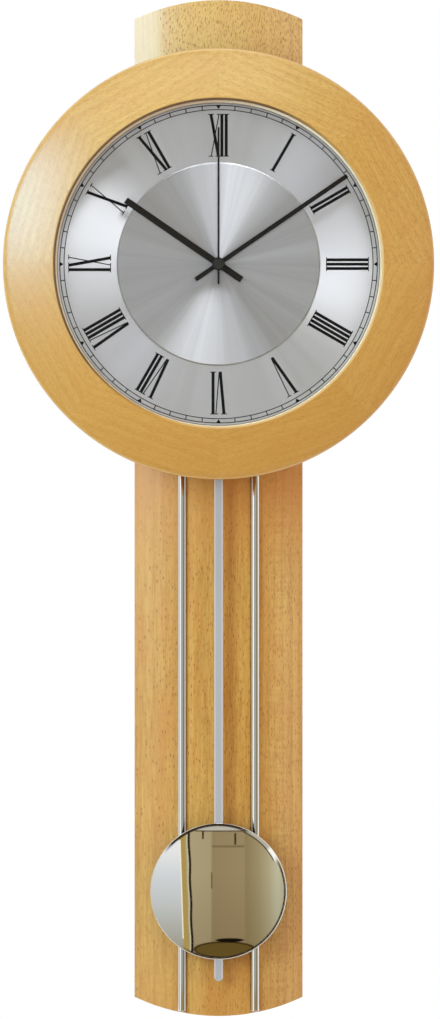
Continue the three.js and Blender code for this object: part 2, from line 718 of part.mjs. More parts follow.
// In mesh at rest: the driver has a tooth on the line of centres, and the driven one a gap.
const toothTowards = (from, to) => Math.atan2(to.y - from.y, to.x - from.x);
const gapTowards = (from, to, teeth) => toothTowards(from, to) + Math.PI / teeth;
const apart = (one, other, size) => (one + other) * size / 2;
const offset = (from, distance, degrees) => {
  const angle = THREE.MathUtils.degToRad(degrees);
  return { x: from.x + distance * Math.cos(angle), y: from.y + distance * Math.sin(angle) };
};

// Arbor positions, seen from the front, about the hand axis
const axis = { x: 0, y: 0 };
const idlerApart = apart(HAND_WHEEL_TEETH, LEAVES, HAND_MODULE);
const rotorApart = apart(IDLER_TEETH, LEAVES, ROTOR_MODULE);
const motionApart = apart(CANNON_TEETH, MOTION_WHEEL_TEETH, MOTION_MODULE);
const secondsIdlerAt = offset(axis, idlerApart, SECONDS_IDLER_ANGLE);
const secondsRotorAt = offset(secondsIdlerAt, rotorApart, SECONDS_ROTOR_ANGLE);
const minutesIdlerAt = offset(axis, idlerApart, MINUTES_IDLER_ANGLE);
const minutesRotorAt = offset(minutesIdlerAt, rotorApart, MINUTES_ROTOR_ANGLE);
const motionAt = offset(axis, motionApart, MOTION_ANGLE);
const hourModule = 2 * motionApart / (MOTION_PINION_TEETH + HOUR_WHEEL_TEETH);

// Depths of the wheels, from the back of the case forwards
const bossTop = innerBack + BOSS_HEIGHT;
const frontBoss = innerFront - BOSS_HEIGHT;
const secondsIdlerBack = bossTop + SEAT;
const secondsIdlerFront = secondsIdlerBack + WHEEL_THICK;
const secondsWheelBack = secondsIdlerFront + WHEEL_THICK;
const secondsWheelFront = secondsWheelBack + WHEEL_THICK;
const minutesIdlerBack = secondsWheelFront + WHEEL_THICK;
const minutesIdlerFront = minutesIdlerBack + WHEEL_THICK;
const centreWheelBack = minutesIdlerFront + 2 * WHEEL_THICK;
const centreWheelFront = centreWheelBack + WHEEL_THICK;
const motionWheelBack = centreWheelFront + WHEEL_THICK;
const motionWheelFront = motionWheelBack + WHEEL_THICK;
const hourWheelBack = motionWheelFront + WHEEL_THICK;
const hourWheelFront = hourWheelBack + WHEEL_THICK;

const pivotBack = innerBack + SEAT;
const pivotFront = innerFront - SEAT;

// An arbor with a thin pivot at each end, held in the cups of the case
function arbor(from, to) {
  return turned([
    [0, pivotBack], [PIVOT_RADIUS, pivotBack], [PIVOT_RADIUS, from], [ARBOR_RADIUS, from],
    [ARBOR_RADIUS, to], [PIVOT_RADIUS, to], [PIVOT_RADIUS, pivotFront], [0, pivotFront],
  ], FINE_FACETS);
}

function addAt(name, finish, spot, geometry) {
  return add(head, name, finish, geometry.translate(spot.x, spot.y, 0));
}

// A stepping rotor: pinion at the back, magnet in front of it
function rotor(spot, idlerSpot, from) {
  const magnetBack = from + 2 * WHEEL_THICK;
  const phase = toothTowards(spot, idlerSpot);
  return joined(
    arbor(from, frontBoss - SEAT),
    pinion(LEAVES, ROTOR_MODULE, phase, from, from + ROTOR_PINION_LENGTH),
    disc(ROTOR_MAGNET_RADIUS, magnetBack, magnetBack + ROTOR_MAGNET_LENGTH),
  );
}

// An idler: wheel at the back, driven by the rotor, and a pinion that reaches the hand wheel
function idler(spot, rotorSpot, from, reach) {
  const phase = gapTowards(spot, rotorSpot, IDLER_TEETH);
  return joined(
    arbor(from, frontBoss - SEAT),
    wheel(IDLER_TEETH, ROTOR_MODULE, phase, from, from + WHEEL_THICK),
    pinion(LEAVES, HAND_MODULE, toothTowards(spot, axis), from + WHEEL_THICK - BITE, reach),
  );
}

const handWheel = (idlerSpot, from, to) => wheel(
  HAND_WHEEL_TEETH, HAND_MODULE, gapTowards(axis, idlerSpot, HAND_WHEEL_TEETH), from, to,
);

// Seconds train
addAt('seconds_rotor', 'ferrite', secondsRotorAt, (
  rotor(secondsRotorAt, secondsIdlerAt, secondsIdlerBack)
));
addAt('seconds_idler', 'wheelPlastic', secondsIdlerAt, (
  idler(secondsIdlerAt, secondsRotorAt, secondsIdlerBack, secondsWheelFront + SEAT)
));
addAt('seconds_wheel', 'wheelPlastic', axis, joined(
  disc(secondArbor, pivotBack, secondBack - SEAT, FINE_FACETS),
  handWheel(secondsIdlerAt, secondsWheelBack, secondsWheelFront),
  disc(HUB_RADIUS, secondsWheelBack - SEAT, secondsWheelFront + SEAT, FINE_FACETS),
));

// Minutes train: the centre wheel carries the cannon pinion and the tube of the minute hand
addAt('minutes_rotor', 'ferrite', minutesRotorAt, (
  rotor(minutesRotorAt, minutesIdlerAt, minutesIdlerBack)
));
addAt('minutes_idler', 'wheelPlastic', minutesIdlerAt, (
  idler(minutesIdlerAt, minutesRotorAt, minutesIdlerBack, centreWheelFront + SEAT)
));
addAt('centre_wheel', 'wheelPlastic', axis, cut(
  joined(
    handWheel(minutesIdlerAt, centreWheelBack, centreWheelFront),
    pinion(
      CANNON_TEETH, MOTION_MODULE, toothTowards(axis, motionAt),
      centreWheelFront - BITE, motionWheelFront + SEAT,
    ),
    disc(minuteTube, centreWheelBack - WHEEL_THICK, minuteBack + HAND_THICK, SMALL_FACETS),
  ),
  disc(minuteBore, centreWheelBack - 2 * WHEEL_THICK, minuteBack + HAND_THICK + THROUGH, FINE_FACETS),
));

// Motion work: twelve turns of the centre wheel turn the hour wheel once
addAt('motion_wheel', 'wheelPlastic', motionAt, cut(
  joined(
    wheel(
      MOTION_WHEEL_TEETH, MOTION_MODULE, gapTowards(motionAt, axis, MOTION_WHEEL_TEETH),
      motionWheelBack, motionWheelFront,
    ),
    pinion(
      MOTION_PINION_TEETH, hourModule, toothTowards(motionAt, axis),
      motionWheelFront - BITE, hourWheelFront,
    ),
  ),
  disc(ARBOR_RADIUS + RUN, motionWheelBack - THROUGH, hourWheelFront + THROUGH, FINE_FACETS),
));
addAt('hour_wheel', 'wheelPlastic', axis, cut(
  joined(
    wheel(
      HOUR_WHEEL_TEETH, hourModule, gapTowards(axis, motionAt, HOUR_WHEEL_TEETH),
      hourWheelBack, hourWheelFront,
    ),
    disc(hourTube, hourWheelBack, hourBack + HAND_THICK, SMALL_FACETS),
  ),
  disc(hourBore, hourWheelBack - THROUGH, hourBack + HAND_THICK + THROUGH, SMALL_FACETS),
));

// Stator plate: a C with the rotor's hole in its back and the coil across its legs
function stator(rotor, side, from) {
  const outer = side * (caseHalf - CASE_WALL - SEAT);
  const inner = rotor.x - side * (ROTOR_MAGNET_RADIUS + STATOR_AIR + STATOR_WEB);
  const coilX = outer - side * COIL_RADIUS;
  const half = STATOR_HEIGHT / 2;
  const bottom = rotor.y - half;
  const top = rotor.y + half;
  const shape = new THREE.Shape();
  const notch = outer - side * (2 * COIL_RADIUS + SEAT);
  shape.moveTo(inner, bottom);
  shape.lineTo(outer, bottom);
  shape.lineTo(outer, bottom + STATOR_LEG);
  shape.lineTo(notch, bottom + STATOR_LEG);
  shape.lineTo(notch, top - STATOR_LEG);
  shape.lineTo(outer, top - STATOR_LEG);
  shape.lineTo(outer, top);
  shape.lineTo(inner, top);
  shape.closePath();
  const blank = plate(shape, from, from + STATOR_THICK);
  const hole = disc(
    ROTOR_MAGNET_RADIUS + STATOR_AIR, from - THROUGH, from + STATOR_THICK + THROUGH,
  );
  return { iron: cut(blank, hole.translate(rotor.x, rotor.y, 0)), coilX, bottom, top };
}

// Winding on an iron core whose flat ends lie on the legs of the stator
function motorCoil(frame, rotor, from) {
  const back = from + STATOR_THICK + SEAT;
  const core = box(
    frame.coilX - CORE_WIDTH / 2, frame.coilX + CORE_WIDTH / 2,
    frame.bottom + SEAT, frame.top - SEAT, back, back + STATOR_THICK,
  );
  const winding = new THREE.CylinderGeometry(COIL_RADIUS, COIL_RADIUS, COIL_LENGTH, SMALL_FACETS);
  winding.translate(frame.coilX, rotor.y, back + STATOR_THICK / 2);
  return joined(winding, core);
}

const statorRise = 2 * WHEEL_THICK + (ROTOR_MAGNET_LENGTH - STATOR_THICK) / 2;
const secondsStatorBack = secondsIdlerBack + statorRise;
const secondsFrame = stator(secondsRotorAt, -1, secondsStatorBack);
add(head, 'seconds_stator', 'steel', secondsFrame.iron);
add(head, 'seconds_coil', 'copper', motorCoil(secondsFrame, secondsRotorAt, secondsStatorBack));
const minutesStatorBack = minutesIdlerBack + statorRise;
const minutesFrame = stator(minutesRotorAt, 1, minutesStatorBack);
add(head, 'minutes_stator', 'steel', minutesFrame.iron);
add(head, 'minutes_coil', 'copper', motorCoil(minutesFrame, minutesRotorAt, minutesStatorBack));

// Circuit board, with the two buttons that reach it through the back of the case
const circuitRight = caseHalf - CASE_WALL - SEAT;
const circuitLeft = circuitRight - CIRCUIT_WIDTH;
const bayHalf = CELL_RADIUS + SEAT;
const circuitBottom = -CELL_DROP + bayHalf + BAY_WALL + SEAT;
const circuitTop = circuitBottom + CIRCUIT_HEIGHT;
const flangeBack = innerBack + SEAT;
const flangeFront = flangeBack + BUTTON_FLANGE_THICK;
const circuitBack = flangeFront + BUTTON_TRAVEL + SEAT;
add(head, 'circuit_board', 'circuit', box(
  circuitLeft, circuitRight, circuitBottom, circuitTop, circuitBack, circuitBack + CIRCUIT_THICK,
));
const buttonX = (circuitLeft + circuitRight) / 2;
const buttonSpots = [
  ['set_button', { x: buttonX, y: circuitBottom + (CIRCUIT_HEIGHT + BUTTON_SPACING) / 2 }],
  ['search_button', { x: buttonX, y: circuitBottom + (CIRCUIT_HEIGHT - BUTTON_SPACING) / 2 }],
];
for (const [name, spot] of buttonSpots) {
  addAt(name, 'button', spot, turned([
    [0, caseBack - BUTTON_PROUD],
    [BUTTON_RADIUS - BUTTON_EDGE, caseBack - BUTTON_PROUD],
    [BUTTON_RADIUS, caseBack - BUTTON_PROUD + BUTTON_EDGE],
    [BUTTON_RADIUS, flangeBack],
    [BUTTON_FLANGE, flangeBack],
    [BUTTON_FLANGE, flangeFront],
    [0, flangeFront],
  ], SMALL_FACETS));
}

// Ferrite aerial in two cradles, and the coil that drives the pendulum
const aerialDepth = (innerBack + innerFront) / 2;
const aerialHalf = AERIAL_LENGTH / 2;
const placedAerial = (geometry) => geometry.translate(0, AERIAL_RISE, aerialDepth);
add(head, 'aerial_core', 'ferrite', placedAerial(crossBar(AERIAL_RADIUS, -aerialHalf, aerialHalf)));
add(head, 'aerial_coil', 'copper', placedAerial(cut(
  crossBar(AERIAL_COIL_RADIUS, -AERIAL_COIL_LENGTH / 2, AERIAL_COIL_LENGTH / 2),
  crossBar(AERIAL_RADIUS + SEAT, -AERIAL_COIL_LENGTH, AERIAL_COIL_LENGTH),
)));
const driveCoilBack = innerBack + SEAT;
add(head, 'pendulum_coil', 'copper', washer(
  DRIVE_COIL_BORE, DRIVE_COIL_RADIUS, driveCoilBack, driveCoilBack + DRIVE_COIL_THICK, SMALL_FACETS,
).translate(0, -MAGNET_DROP, 0));

// Battery and its two contacts
const cellHalf = CELL_LENGTH / 2;
const cellDepth = caseBack + CELL_RADIUS + 2 * SEAT;
const placedCell = (geometry) => geometry.translate(0, -CELL_DROP, cellDepth);
add(head, 'battery_cell', 'cell', placedCell(turned([
  [0, -cellHalf],
  [CELL_RADIUS, -cellHalf],
  [CELL_RADIUS, cellHalf - CELL_NUB],
  [CELL_NUB_RADIUS, cellHalf - CELL_NUB],
  [CELL_NUB_RADIUS, cellHalf],
  [0, cellHalf],
], SMALL_FACETS).rotateY(Math.PI / 2)));
const contactHalf = CONTACT_WIDTH / 2;
const contactPlate = (left) => box(
  left, left + CONTACT_THICK, -contactHalf, contactHalf, -contactHalf, contactHalf,
);
add(head, 'battery_contact_positive', 'steel', placedCell(contactPlate(cellHalf + SEAT)));
const negativeFace = -cellHalf - SEAT;
const coneBack = negativeFace - CONTACT_CONE;
const cone = turned([
  [0, coneBack - CONTACT_THICK / 2],
  [CONTACT_CONE_BASE, coneBack - CONTACT_THICK / 2],
  [CONTACT_CONE_TIP, negativeFace],
  [0, negativeFace],
], FINE_FACETS).rotateY(Math.PI / 2);
add(head, 'battery_contact_negative', 'steel', placedCell(joined(
  contactPlate(coneBack - CONTACT_THICK),
  cone,
)));
const bayRight = cellHalf + SEAT + CONTACT_THICK + SEAT;
const bayLeft = coneBack - CONTACT_THICK - SEAT;

// Rear shell of the case: walls, battery bay, bearing cups, posts, cradles and the pendulum boss
const caseOutline = (inset) => roundedOutline(
  -caseHalf + inset, caseHalf - inset, -CASE_BOTTOM + inset, CASE_TOP - inset, CASE_CORNER - inset,
);
const bayBottom = -CELL_DROP - bayHalf;
const bayTop = -CELL_DROP + bayHalf;
const bayFront = cellDepth + bayHalf;
const rearArbors = [secondsIdlerAt, secondsRotorAt, minutesIdlerAt, minutesRotorAt, axis];
const cup = (spot, from, to) => disc(BOSS_RADIUS, from, to, FINE_FACETS).translate(spot.x, spot.y, 0);
const cupBore = (spot, from, to) => (
  disc(PIVOT_RADIUS + RUN, from, to, FINE_FACETS).translate(spot.x, spot.y, 0)
);
const postSpots = (frame) => [frame.bottom + STATOR_LEG / 2, frame.top - STATOR_LEG / 2];
const post = (x, y, from, to) => disc(POST_RADIUS, from, to, FINE_FACETS).translate(x, y, 0);
const cradle = (x) => cut(
  box(
    x - CRADLE_THICK / 2, x + CRADLE_THICK / 2,
    AERIAL_RISE - AERIAL_RADIUS - CRADLE_WALL, CASE_TOP - BITE, innerBack - BITE, aerialDepth,
  ),
  placedAerial(crossBar(AERIAL_RADIUS + SEAT, x - CRADLE_THICK, x + CRADLE_THICK)),
);
const pivotBoss = caseBack - PIVOT_BOSS_HEIGHT;
const circuitPosts = [circuitLeft + CIRCUIT_POST_INSET, circuitRight - CIRCUIT_POST_INSET]
  .flatMap((x) => [
    { x, y: circuitBottom + CIRCUIT_POST_INSET },
    { x, y: circuitTop - CIRCUIT_POST_INSET },
  ]);
const rearShell = cut(
  plate(caseOutline(0), caseBack, caseSplit, CORNER_FACETS),
  plate(caseOutline(CASE_WALL), innerBack, caseSplit + THROUGH, CORNER_FACETS),
);
add(head, 'movement_case_back', 'casePlastic', cut(
  joined(
    rearShell,
    box(
      bayLeft - BAY_WALL, bayRight + BAY_WALL, bayBottom - BAY_WALL, bayTop + BAY_WALL,
      caseBack, bayFront + BAY_WALL,
    ),
    ...rearArbors.map((spot) => cup(spot, innerBack - BITE, bossTop)),
    ...postSpots(secondsFrame).map((y) => (
      post(secondsFrame.coilX, y, innerBack - BITE, secondsStatorBack - SEAT)
    )),
    ...circuitPosts.map(({ x, y }) => post(x, y, innerBack - BITE, circuitBack - SEAT)),
    cradle(-CRADLE_SPACING / 2),
    cradle(CRADLE_SPACING / 2),
    disc(PIVOT_PIN / 2 + PIVOT_BOSS_WALL, pivotBoss, caseBack + BITE).translate(0, PIVOT_RISE, 0),
  ),
  box(bayLeft, bayRight, bayBottom, bayTop, caseBack - THROUGH, bayFront),
  ...rearArbors.map((spot) => cupBore(spot, innerBack, bossTop + THROUGH)),
  ...buttonSpots.map(([, spot]) => (
    disc(BUTTON_RADIUS + PUSH, caseBack - THROUGH, innerBack + THROUGH)
      .translate(spot.x, spot.y, 0)
  )),
  disc(PIVOT_PIN / 2 + SEAT, pivotBoss - THROUGH, caseBack + SEAT, FINE_FACETS)
    .translate(0, PIVOT_RISE, 0),
));

// Front shell of the case with the bush that the dial is clamped on
const frontArbors = [secondsIdlerAt, secondsRotorAt, minutesIdlerAt, minutesRotorAt];
const bushFront = nutFront + BUSH_PROUD;
const minutesPostBack = minutesStatorBack + 2 * (STATOR_THICK + SEAT);
const frontShell = cut(
  plate(caseOutline(0), caseSplit + SEAT, caseFront, CORNER_FACETS),
  plate(caseOutline(CASE_WALL), caseSplit, innerFront, CORNER_FACETS),
);
add(head, 'movement_case_front', 'casePlastic', cut(
  joined(
    frontShell,
    disc(BUSH_RADIUS, innerFront, bushFront, MEDIUM_FACETS),
    ...frontArbors.map((spot) => cup(spot, frontBoss, innerFront + BITE)),
    ...postSpots(minutesFrame).map((y) => (
      post(minutesFrame.coilX, y, minutesPostBack, innerFront + BITE)
    )),
    disc(ARBOR_RADIUS, motionWheelBack, innerFront + BITE, FINE_FACETS)
      .translate(motionAt.x, motionAt.y, 0),
  ),
  disc(bushBore, innerFront - THROUGH, bushFront + THROUGH, MEDIUM_FACETS),
  ...frontArbors.map((spot) => cupBore(spot, frontBoss - THROUGH, innerFront)),
));

// Washer and hexagon nut that clamp the movement to the carrier
add(head, 'movement_washer', 'rubber', (
  washer(BUSH_RADIUS + SEAT, WASHER_RADIUS, washerBack, washerBack + WASHER_THICK)
));
add(head, 'movement_nut', 'brass', cut(
  disc(nutCorner, nutBack, nutFront, NUT_SIDES),
  disc(BUSH_RADIUS + SEAT, nutBack - THROUGH, nutFront + THROUGH, MEDIUM_FACETS),
));

// Hands: flat batons with square ends and a round boss
function hand(length, width, tail, from, bore, capped) {
  const half = width / 2;
  const outline = new THREE.Shape();
  outline.moveTo(-half, -tail);
  outline.lineTo(half, -tail);
  outline.lineTo(half, length);
  outline.lineTo(-half, length);
  outline.closePath();
  const front = from + HAND_THICK;
  const blade = plate(outline, from, front);
  const boss = disc(HAND_BOSS, from - HAND_BOSS_PROUD, front + HAND_BOSS_PROUD, SMALL_FACETS);
  const hole = disc(bore, from - THROUGH, capped ? front : front + THROUGH, SMALL_FACETS);
  return cut(joined(blade, boss), hole);
}

const turn = (geometry, degrees) => geometry.rotateZ(-THREE.MathUtils.degToRad(degrees));
add(head, 'hour_hand', 'black', turn(
  hand(HOUR_LENGTH, HOUR_WIDTH, LONG_TAIL, hourBack, hourTube + SEAT, false), HOUR_ANGLE,
));
add(head, 'minute_hand', 'black', turn(
  hand(MINUTE_LENGTH, MINUTE_WIDTH, LONG_TAIL, minuteBack, minuteTube + SEAT, false), MINUTE_ANGLE,
));
add(head, 'second_hand', 'black', turn(
  hand(SECOND_LENGTH, SECOND_WIDTH, SECOND_TAIL, secondBack, secondArbor + SEAT, true), SECOND_ANGLE,
));

// Pendulum lever: hangs on the pivot pin, carries the magnet past the drive coil and ends in a hook
const leverFront = pivotBoss - SEAT;
const leverBack = leverFront - LEVER_THICK;
const leverHalf = LEVER_WIDTH / 2;
const magnetRadius = MAGNET_DIAMETER / 2;
const hookRadius = HOOK_DIAMETER / 2;
const leverOutline = new THREE.Shape();
leverOutline.absarc(0, PIVOT_RISE, leverHalf, 0, Math.PI, false);
leverOutline.absarc(0, -HOOK_DROP, leverHalf, Math.PI, 2 * Math.PI, false);
leverOutline.closePath();
const pocketFloor = leverFront - MAGNET_THICK - SEAT;
const hookHeadFront = barBack - SEAT;
const hookHeadBack = hookHeadFront - HOOK_HEAD_THICK;
add(head, 'pendulum_lever', 'wheelPlastic', cut(
  joined(
    plate(leverOutline, leverBack, leverFront, FINE_FACETS),
    turned([
      [0, hookHeadBack],
      [hookRadius + HOOK_LIP_EDGE, hookHeadBack],
      [hookRadius + HOOK_LIP, hookHeadFront],
      [hookRadius, hookHeadFront],
      [hookRadius, leverBack + BITE],
      [0, leverBack + BITE],
    ], FINE_FACETS).translate(0, -HOOK_DROP, 0),
  ),
  disc(PIVOT_PIN / 2 + RUN, leverBack - THROUGH, leverFront + THROUGH, FINE_FACETS)
    .translate(0, PIVOT_RISE, 0),
  disc(magnetRadius + SEAT, pocketFloor, leverFront + THROUGH).translate(0, -MAGNET_DROP, 0),
));
add(head, 'pendulum_magnet', 'ferrite', (
  disc(magnetRadius, pocketFloor + SEAT, leverFront).translate(0, -MAGNET_DROP, 0)
));
const pinHeadFront = leverBack - SEAT;
add(head, 'pendulum_pin', 'brass', turned([
  [0, pinHeadFront - PIN_HEAD_THICK],
  [PIVOT_PIN, pinHeadFront - PIN_HEAD_THICK],
  [PIVOT_PIN, pinHeadFront],
  [PIVOT_PIN / 2, pinHeadFront],
  [PIVOT_PIN / 2, caseBack],
  [0, caseBack],
], FINE_FACETS).translate(0, PIVOT_RISE, 0));

// Pendulum bar: flat strip, hung by its eye and cut to a blunt point
const barHalf = BAR_WIDTH / 2;
const eye = hookRadius + SEAT;
const barOutline = new THREE.Shape();
barOutline.absarc(0, -HOOK_DROP, barHalf, 0, Math.PI, false);
barOutline.lineTo(-barHalf, -BAR_TIP_DROP + BAR_TIP_POINT);
barOutline.lineTo(-barHalf / 3, -BAR_TIP_DROP);
barOutline.lineTo(barHalf / 3, -BAR_TIP_DROP);
barOutline.lineTo(barHalf, -BAR_TIP_DROP + BAR_TIP_POINT);
barOutline.closePath();
holeIn(barOutline, 0, -HOOK_DROP, eye);
add(head, 'pendulum_bar', 'aluminium', plate(barOutline, barBack, barFront, FINE_FACETS));

// Bob: a domed shell over a flat back whose spine slides on the bar
const bobRadius = BOB_DIAMETER / 2;
const spineBack = barBack - BOB_CLIP_THICK;
const bobBackBack = barFront + SEAT + BOB_CLIP_THICK;
const bobBackFront = bobBackBack + BOB_BACK_THICK;
const rimFront = bobBackBack + BOB_RIM;
const bob = new THREE.Group();
bob.position.y = -BOB_DROP;
head.add(bob);

function dome(radius, rise, base, steps) {
  const sphere = (radius ** 2 + rise ** 2) / (2 * rise);
  const spread = Math.asin(radius / sphere);
  const points = [];
  for (let step = 0; step <= steps; step += 1) {
    const angle = spread * (1 - step / steps);
    points.push([sphere * Math.sin(angle), base + rise - sphere + sphere * Math.cos(angle)]);
  }
  return points;
}

add(bob, 'bob_shell', 'chrome', turned([
  [bobRadius - BOB_WALL, bobBackBack],
  [bobRadius, bobBackBack],
  ...dome(bobRadius, BOB_DOME, rimFront, DOME_STEPS),
  ...dome(bobRadius - BOB_WALL, BOB_DOME - BOB_WALL, rimFront, DOME_STEPS).reverse(),
], LARGE_FACETS));
const spineHalf = BOB_SPINE_WIDTH / 2;
const channelHalf = barHalf + SEAT;
add(bob, 'bob_back', 'casePlastic', cut(
  joined(
    disc(bobRadius - BOB_WALL - SEAT, bobBackBack, bobBackFront, LARGE_FACETS),
    box(
      -spineHalf, spineHalf, -BOB_SPINE_LENGTH / 2, BOB_SPINE_LENGTH / 2,
      spineBack, bobBackBack + BITE,
    ),
  ),
  box(-channelHalf, channelHalf, -BOB_DIAMETER, BOB_DIAMETER, spineBack - THROUGH, barFront + SEAT),
));
const clipFront = spineBack - SEAT;
add(bob, 'bob_clip', 'steel', box(
  -spineHalf, spineHalf, -BOB_CLIP_WIDTH / 2, BOB_CLIP_WIDTH / 2, clipFront - BOB_CLIP_THICK, clipFront,
));

// Stand the clock up: depth towards the viewer becomes -Y, and up becomes +Z.
clock.rotation.x = Math.PI / 2;

export default clock;
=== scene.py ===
# %% [markdown]
# A pendulum wall clock in beech, with a brushed metal dial and a mirror-bright bob.
# The clock's frame, its sizes and its moving bodies come from the solid model. This lesson
# dresses that frame: it models the shown pieces finely and gives every piece its finish.

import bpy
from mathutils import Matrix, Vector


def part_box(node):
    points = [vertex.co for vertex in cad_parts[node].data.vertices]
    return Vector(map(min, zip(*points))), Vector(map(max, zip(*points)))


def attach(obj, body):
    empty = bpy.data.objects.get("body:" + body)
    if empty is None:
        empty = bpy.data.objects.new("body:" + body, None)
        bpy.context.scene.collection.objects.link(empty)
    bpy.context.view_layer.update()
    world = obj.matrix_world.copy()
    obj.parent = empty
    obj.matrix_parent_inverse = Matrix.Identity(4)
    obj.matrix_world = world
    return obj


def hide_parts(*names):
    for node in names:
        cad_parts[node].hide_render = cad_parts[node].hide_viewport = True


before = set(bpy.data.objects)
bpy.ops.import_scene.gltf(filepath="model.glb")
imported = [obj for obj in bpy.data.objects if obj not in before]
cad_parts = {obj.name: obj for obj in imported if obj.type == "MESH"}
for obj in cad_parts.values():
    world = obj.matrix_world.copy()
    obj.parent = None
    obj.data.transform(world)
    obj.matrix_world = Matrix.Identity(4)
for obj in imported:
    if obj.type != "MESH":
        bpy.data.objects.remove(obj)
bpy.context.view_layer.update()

# %% [markdown]
# Everything is in metres, so sizes are written in millimetres times MM. X runs right, Z runs up
# and the clock faces the viewer along -Y. A depth is counted from the wall towards the viewer.

# %% Units and small helpers
import math
from contextlib import contextmanager

import bpy
from mathutils import Vector

MM = 0.001
FULL_TURN = 2 * math.pi
QUARTER_TURN = math.pi / 2


def mm(*values):
    """Millimetres turned into metres."""
    return tuple(value * MM for value in values)


def box_of(node):
    """Left, right, bottom, top, back and front of a solid, as plain numbers."""
    low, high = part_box(node)
    return low.x, high.x, low.z, high.z, -high.y, -low.y


def half_width(node):
    left, right = box_of(node)[:2]
    return (right - left) / 2


def middle_of(node):
    """The middle of a solid as seen from the front: x and z."""
    left, right, bottom, top = box_of(node)[:4]
    return (left + right) / 2, (bottom + top) / 2


def at(x, depth, z):
    """A point given by its place across, its depth from the wall and its height."""
    return Vector((x, -depth, z))


def linear(red, green, blue):
    """A colour as a screen shows it, 0 to 255, turned into the plain light values of a node."""
    shares = [part / 255 for part in (red, green, blue)]
    return tuple(s / 12.92 if s <= 0.04045 else ((s + 0.055) / 1.055) ** 2.4 for s in shares) + (1,)


ring_back, ring_front = box_of("bezel_ring")[4:]
RING_RADIUS = half_width("bezel_ring")
HEAD_Z = middle_of("bezel_ring")[1]
print("dial centre at height", round(HEAD_Z, 4), "ring radius", round(RING_RADIUS, 4))

# %% [markdown]
# An operator works on whatever is selected. The helpers below deselect everything, pick one
# piece, and keep the steps of hand modelling short: start from a primitive, settle its place
# into its mesh, and edit its corners.

# %% Helpers for picking and editing
def pick(*pieces):
    bpy.ops.object.select_all(action="DESELECT")
    for piece in pieces:
        piece.select_set(True)
    bpy.context.view_layer.objects.active = pieces[0]


def named(name):
    """The piece in hand, under its own name."""
    piece = bpy.context.object
    piece.name = piece.data.name = name
    return piece


def started(name, add, **settings):
    """A primitive, added while nothing else is selected."""
    bpy.ops.object.select_all(action="DESELECT")
    add(**settings)
    return named(name)


def settle(piece):
    """Puts the object's place and turn into its mesh."""
    pick(piece)
    bpy.ops.object.transform_apply(location=True, rotation=True, scale=True)
    return piece


@contextmanager
def edited(piece, wanted=None):
    """Edit mode with the corners selected for which wanted(place) holds, or else with all."""
    pick(piece)
    bpy.ops.object.mode_set(mode="EDIT")
    bpy.ops.mesh.select_mode(type="VERT")
    bpy.ops.mesh.select_all(action="DESELECT" if wanted else "SELECT")
    if wanted:
        bpy.ops.object.mode_set(mode="OBJECT")
        for corner in piece.data.vertices:
            corner.select = wanted(corner.co)
        bpy.ops.object.mode_set(mode="EDIT")
    yield
    bpy.ops.object.mode_set(mode="OBJECT")


# %% [markdown]
# ## The camera and the light
# The photograph looks straight at the clock from a few metres away, at the height of its middle.
# A long lens there keeps the round ring round and hides the sides of the board.

# %% Camera
PHOTO_HEIGHT = 1019
PIXELS_PER_MM = 1.4495
CAMERA_DISTANCE = 5.2
BOARD_FACE = 20 * MM
PHOTO_MIDDLE_X = 1.0 * MM
PHOTO_MIDDLE_Z = -313 * MM
SENSOR = 36

frame_height = PHOTO_HEIGHT / PIXELS_PER_MM * MM
bpy.ops.object.camera_add(
    location=at(PHOTO_MIDDLE_X, CAMERA_DISTANCE, PHOTO_MIDDLE_Z), rotation=(QUARTER_TURN, 0, 0),
)
camera = bpy.context.object
camera.name = "camera"
camera.data.sensor_fit = "VERTICAL"
camera.data.sensor_height = SENSOR
camera.data.lens = SENSOR * (CAMERA_DISTANCE - BOARD_FACE) / frame_height
bpy.context.scene.camera = camera
bpy.context.scene.view_settings.view_transform = "Standard"
print("lens", round(camera.data.lens, 1), "mm")

# %% [markdown]
# Materials, the world and lit boards are all trees of nodes. A few helpers keep the trees short:
# one adds a node and fills its inputs, and the others make the nodes for numbers and vectors.

# %% Node helpers
def fill(tree, made, inputs):
    """Links an input to a socket, or sets its value."""
    for name, value in inputs.items():
        if isinstance(value, bpy.types.NodeSocket):
            tree.links.new(value, made.inputs[name])
        else:
            made.inputs[name].default_value = value
    return made


def node(tree, kind, inputs=None, **settings):
    """Adds a node, sets its options, then fills its inputs."""
    made = tree.nodes.new("ShaderNode" + kind)
    for name, value in settings.items():
        setattr(made, name, value)
    return fill(tree, made, inputs or {})


def math_node(tree, operation, *values):
    return node(tree, "Math", dict(enumerate(values)), operation=operation).outputs[0]


def vector_node(tree, operation, *values, output="Vector"):
    made = node(tree, "VectorMath", dict(enumerate(values)), operation=operation)
    return made.outputs[output]


def object_place(tree):
    return node(tree, "TexCoord").outputs["Object"]


def ranged(tree, value, low, high, start=0.0, end=1.0, smooth_step=False):
    """Maps a value that runs from low to high onto start to end, and stops there."""
    kind = "SMOOTHSTEP" if smooth_step else "LINEAR"
    inputs = {0: value, 1: low, 2: high, 3: start, 4: end}
    return node(tree, "MapRange", inputs, interpolation_type=kind).outputs[0]


def bare_tree(owner):
    """The empty node tree of a material or a world."""
    owner.use_nodes = True
    owner.node_tree.nodes.clear()
    return owner.node_tree


# %% [markdown]
# Plain white surrounds the clock, as the photograph's paper backdrop does. The camera, mirrors and
# clear glass see that white, while the wood only gets a soft warm light from it. The floor is matt
# and fades out at its rim, so that it keeps a shadow but has no edge.

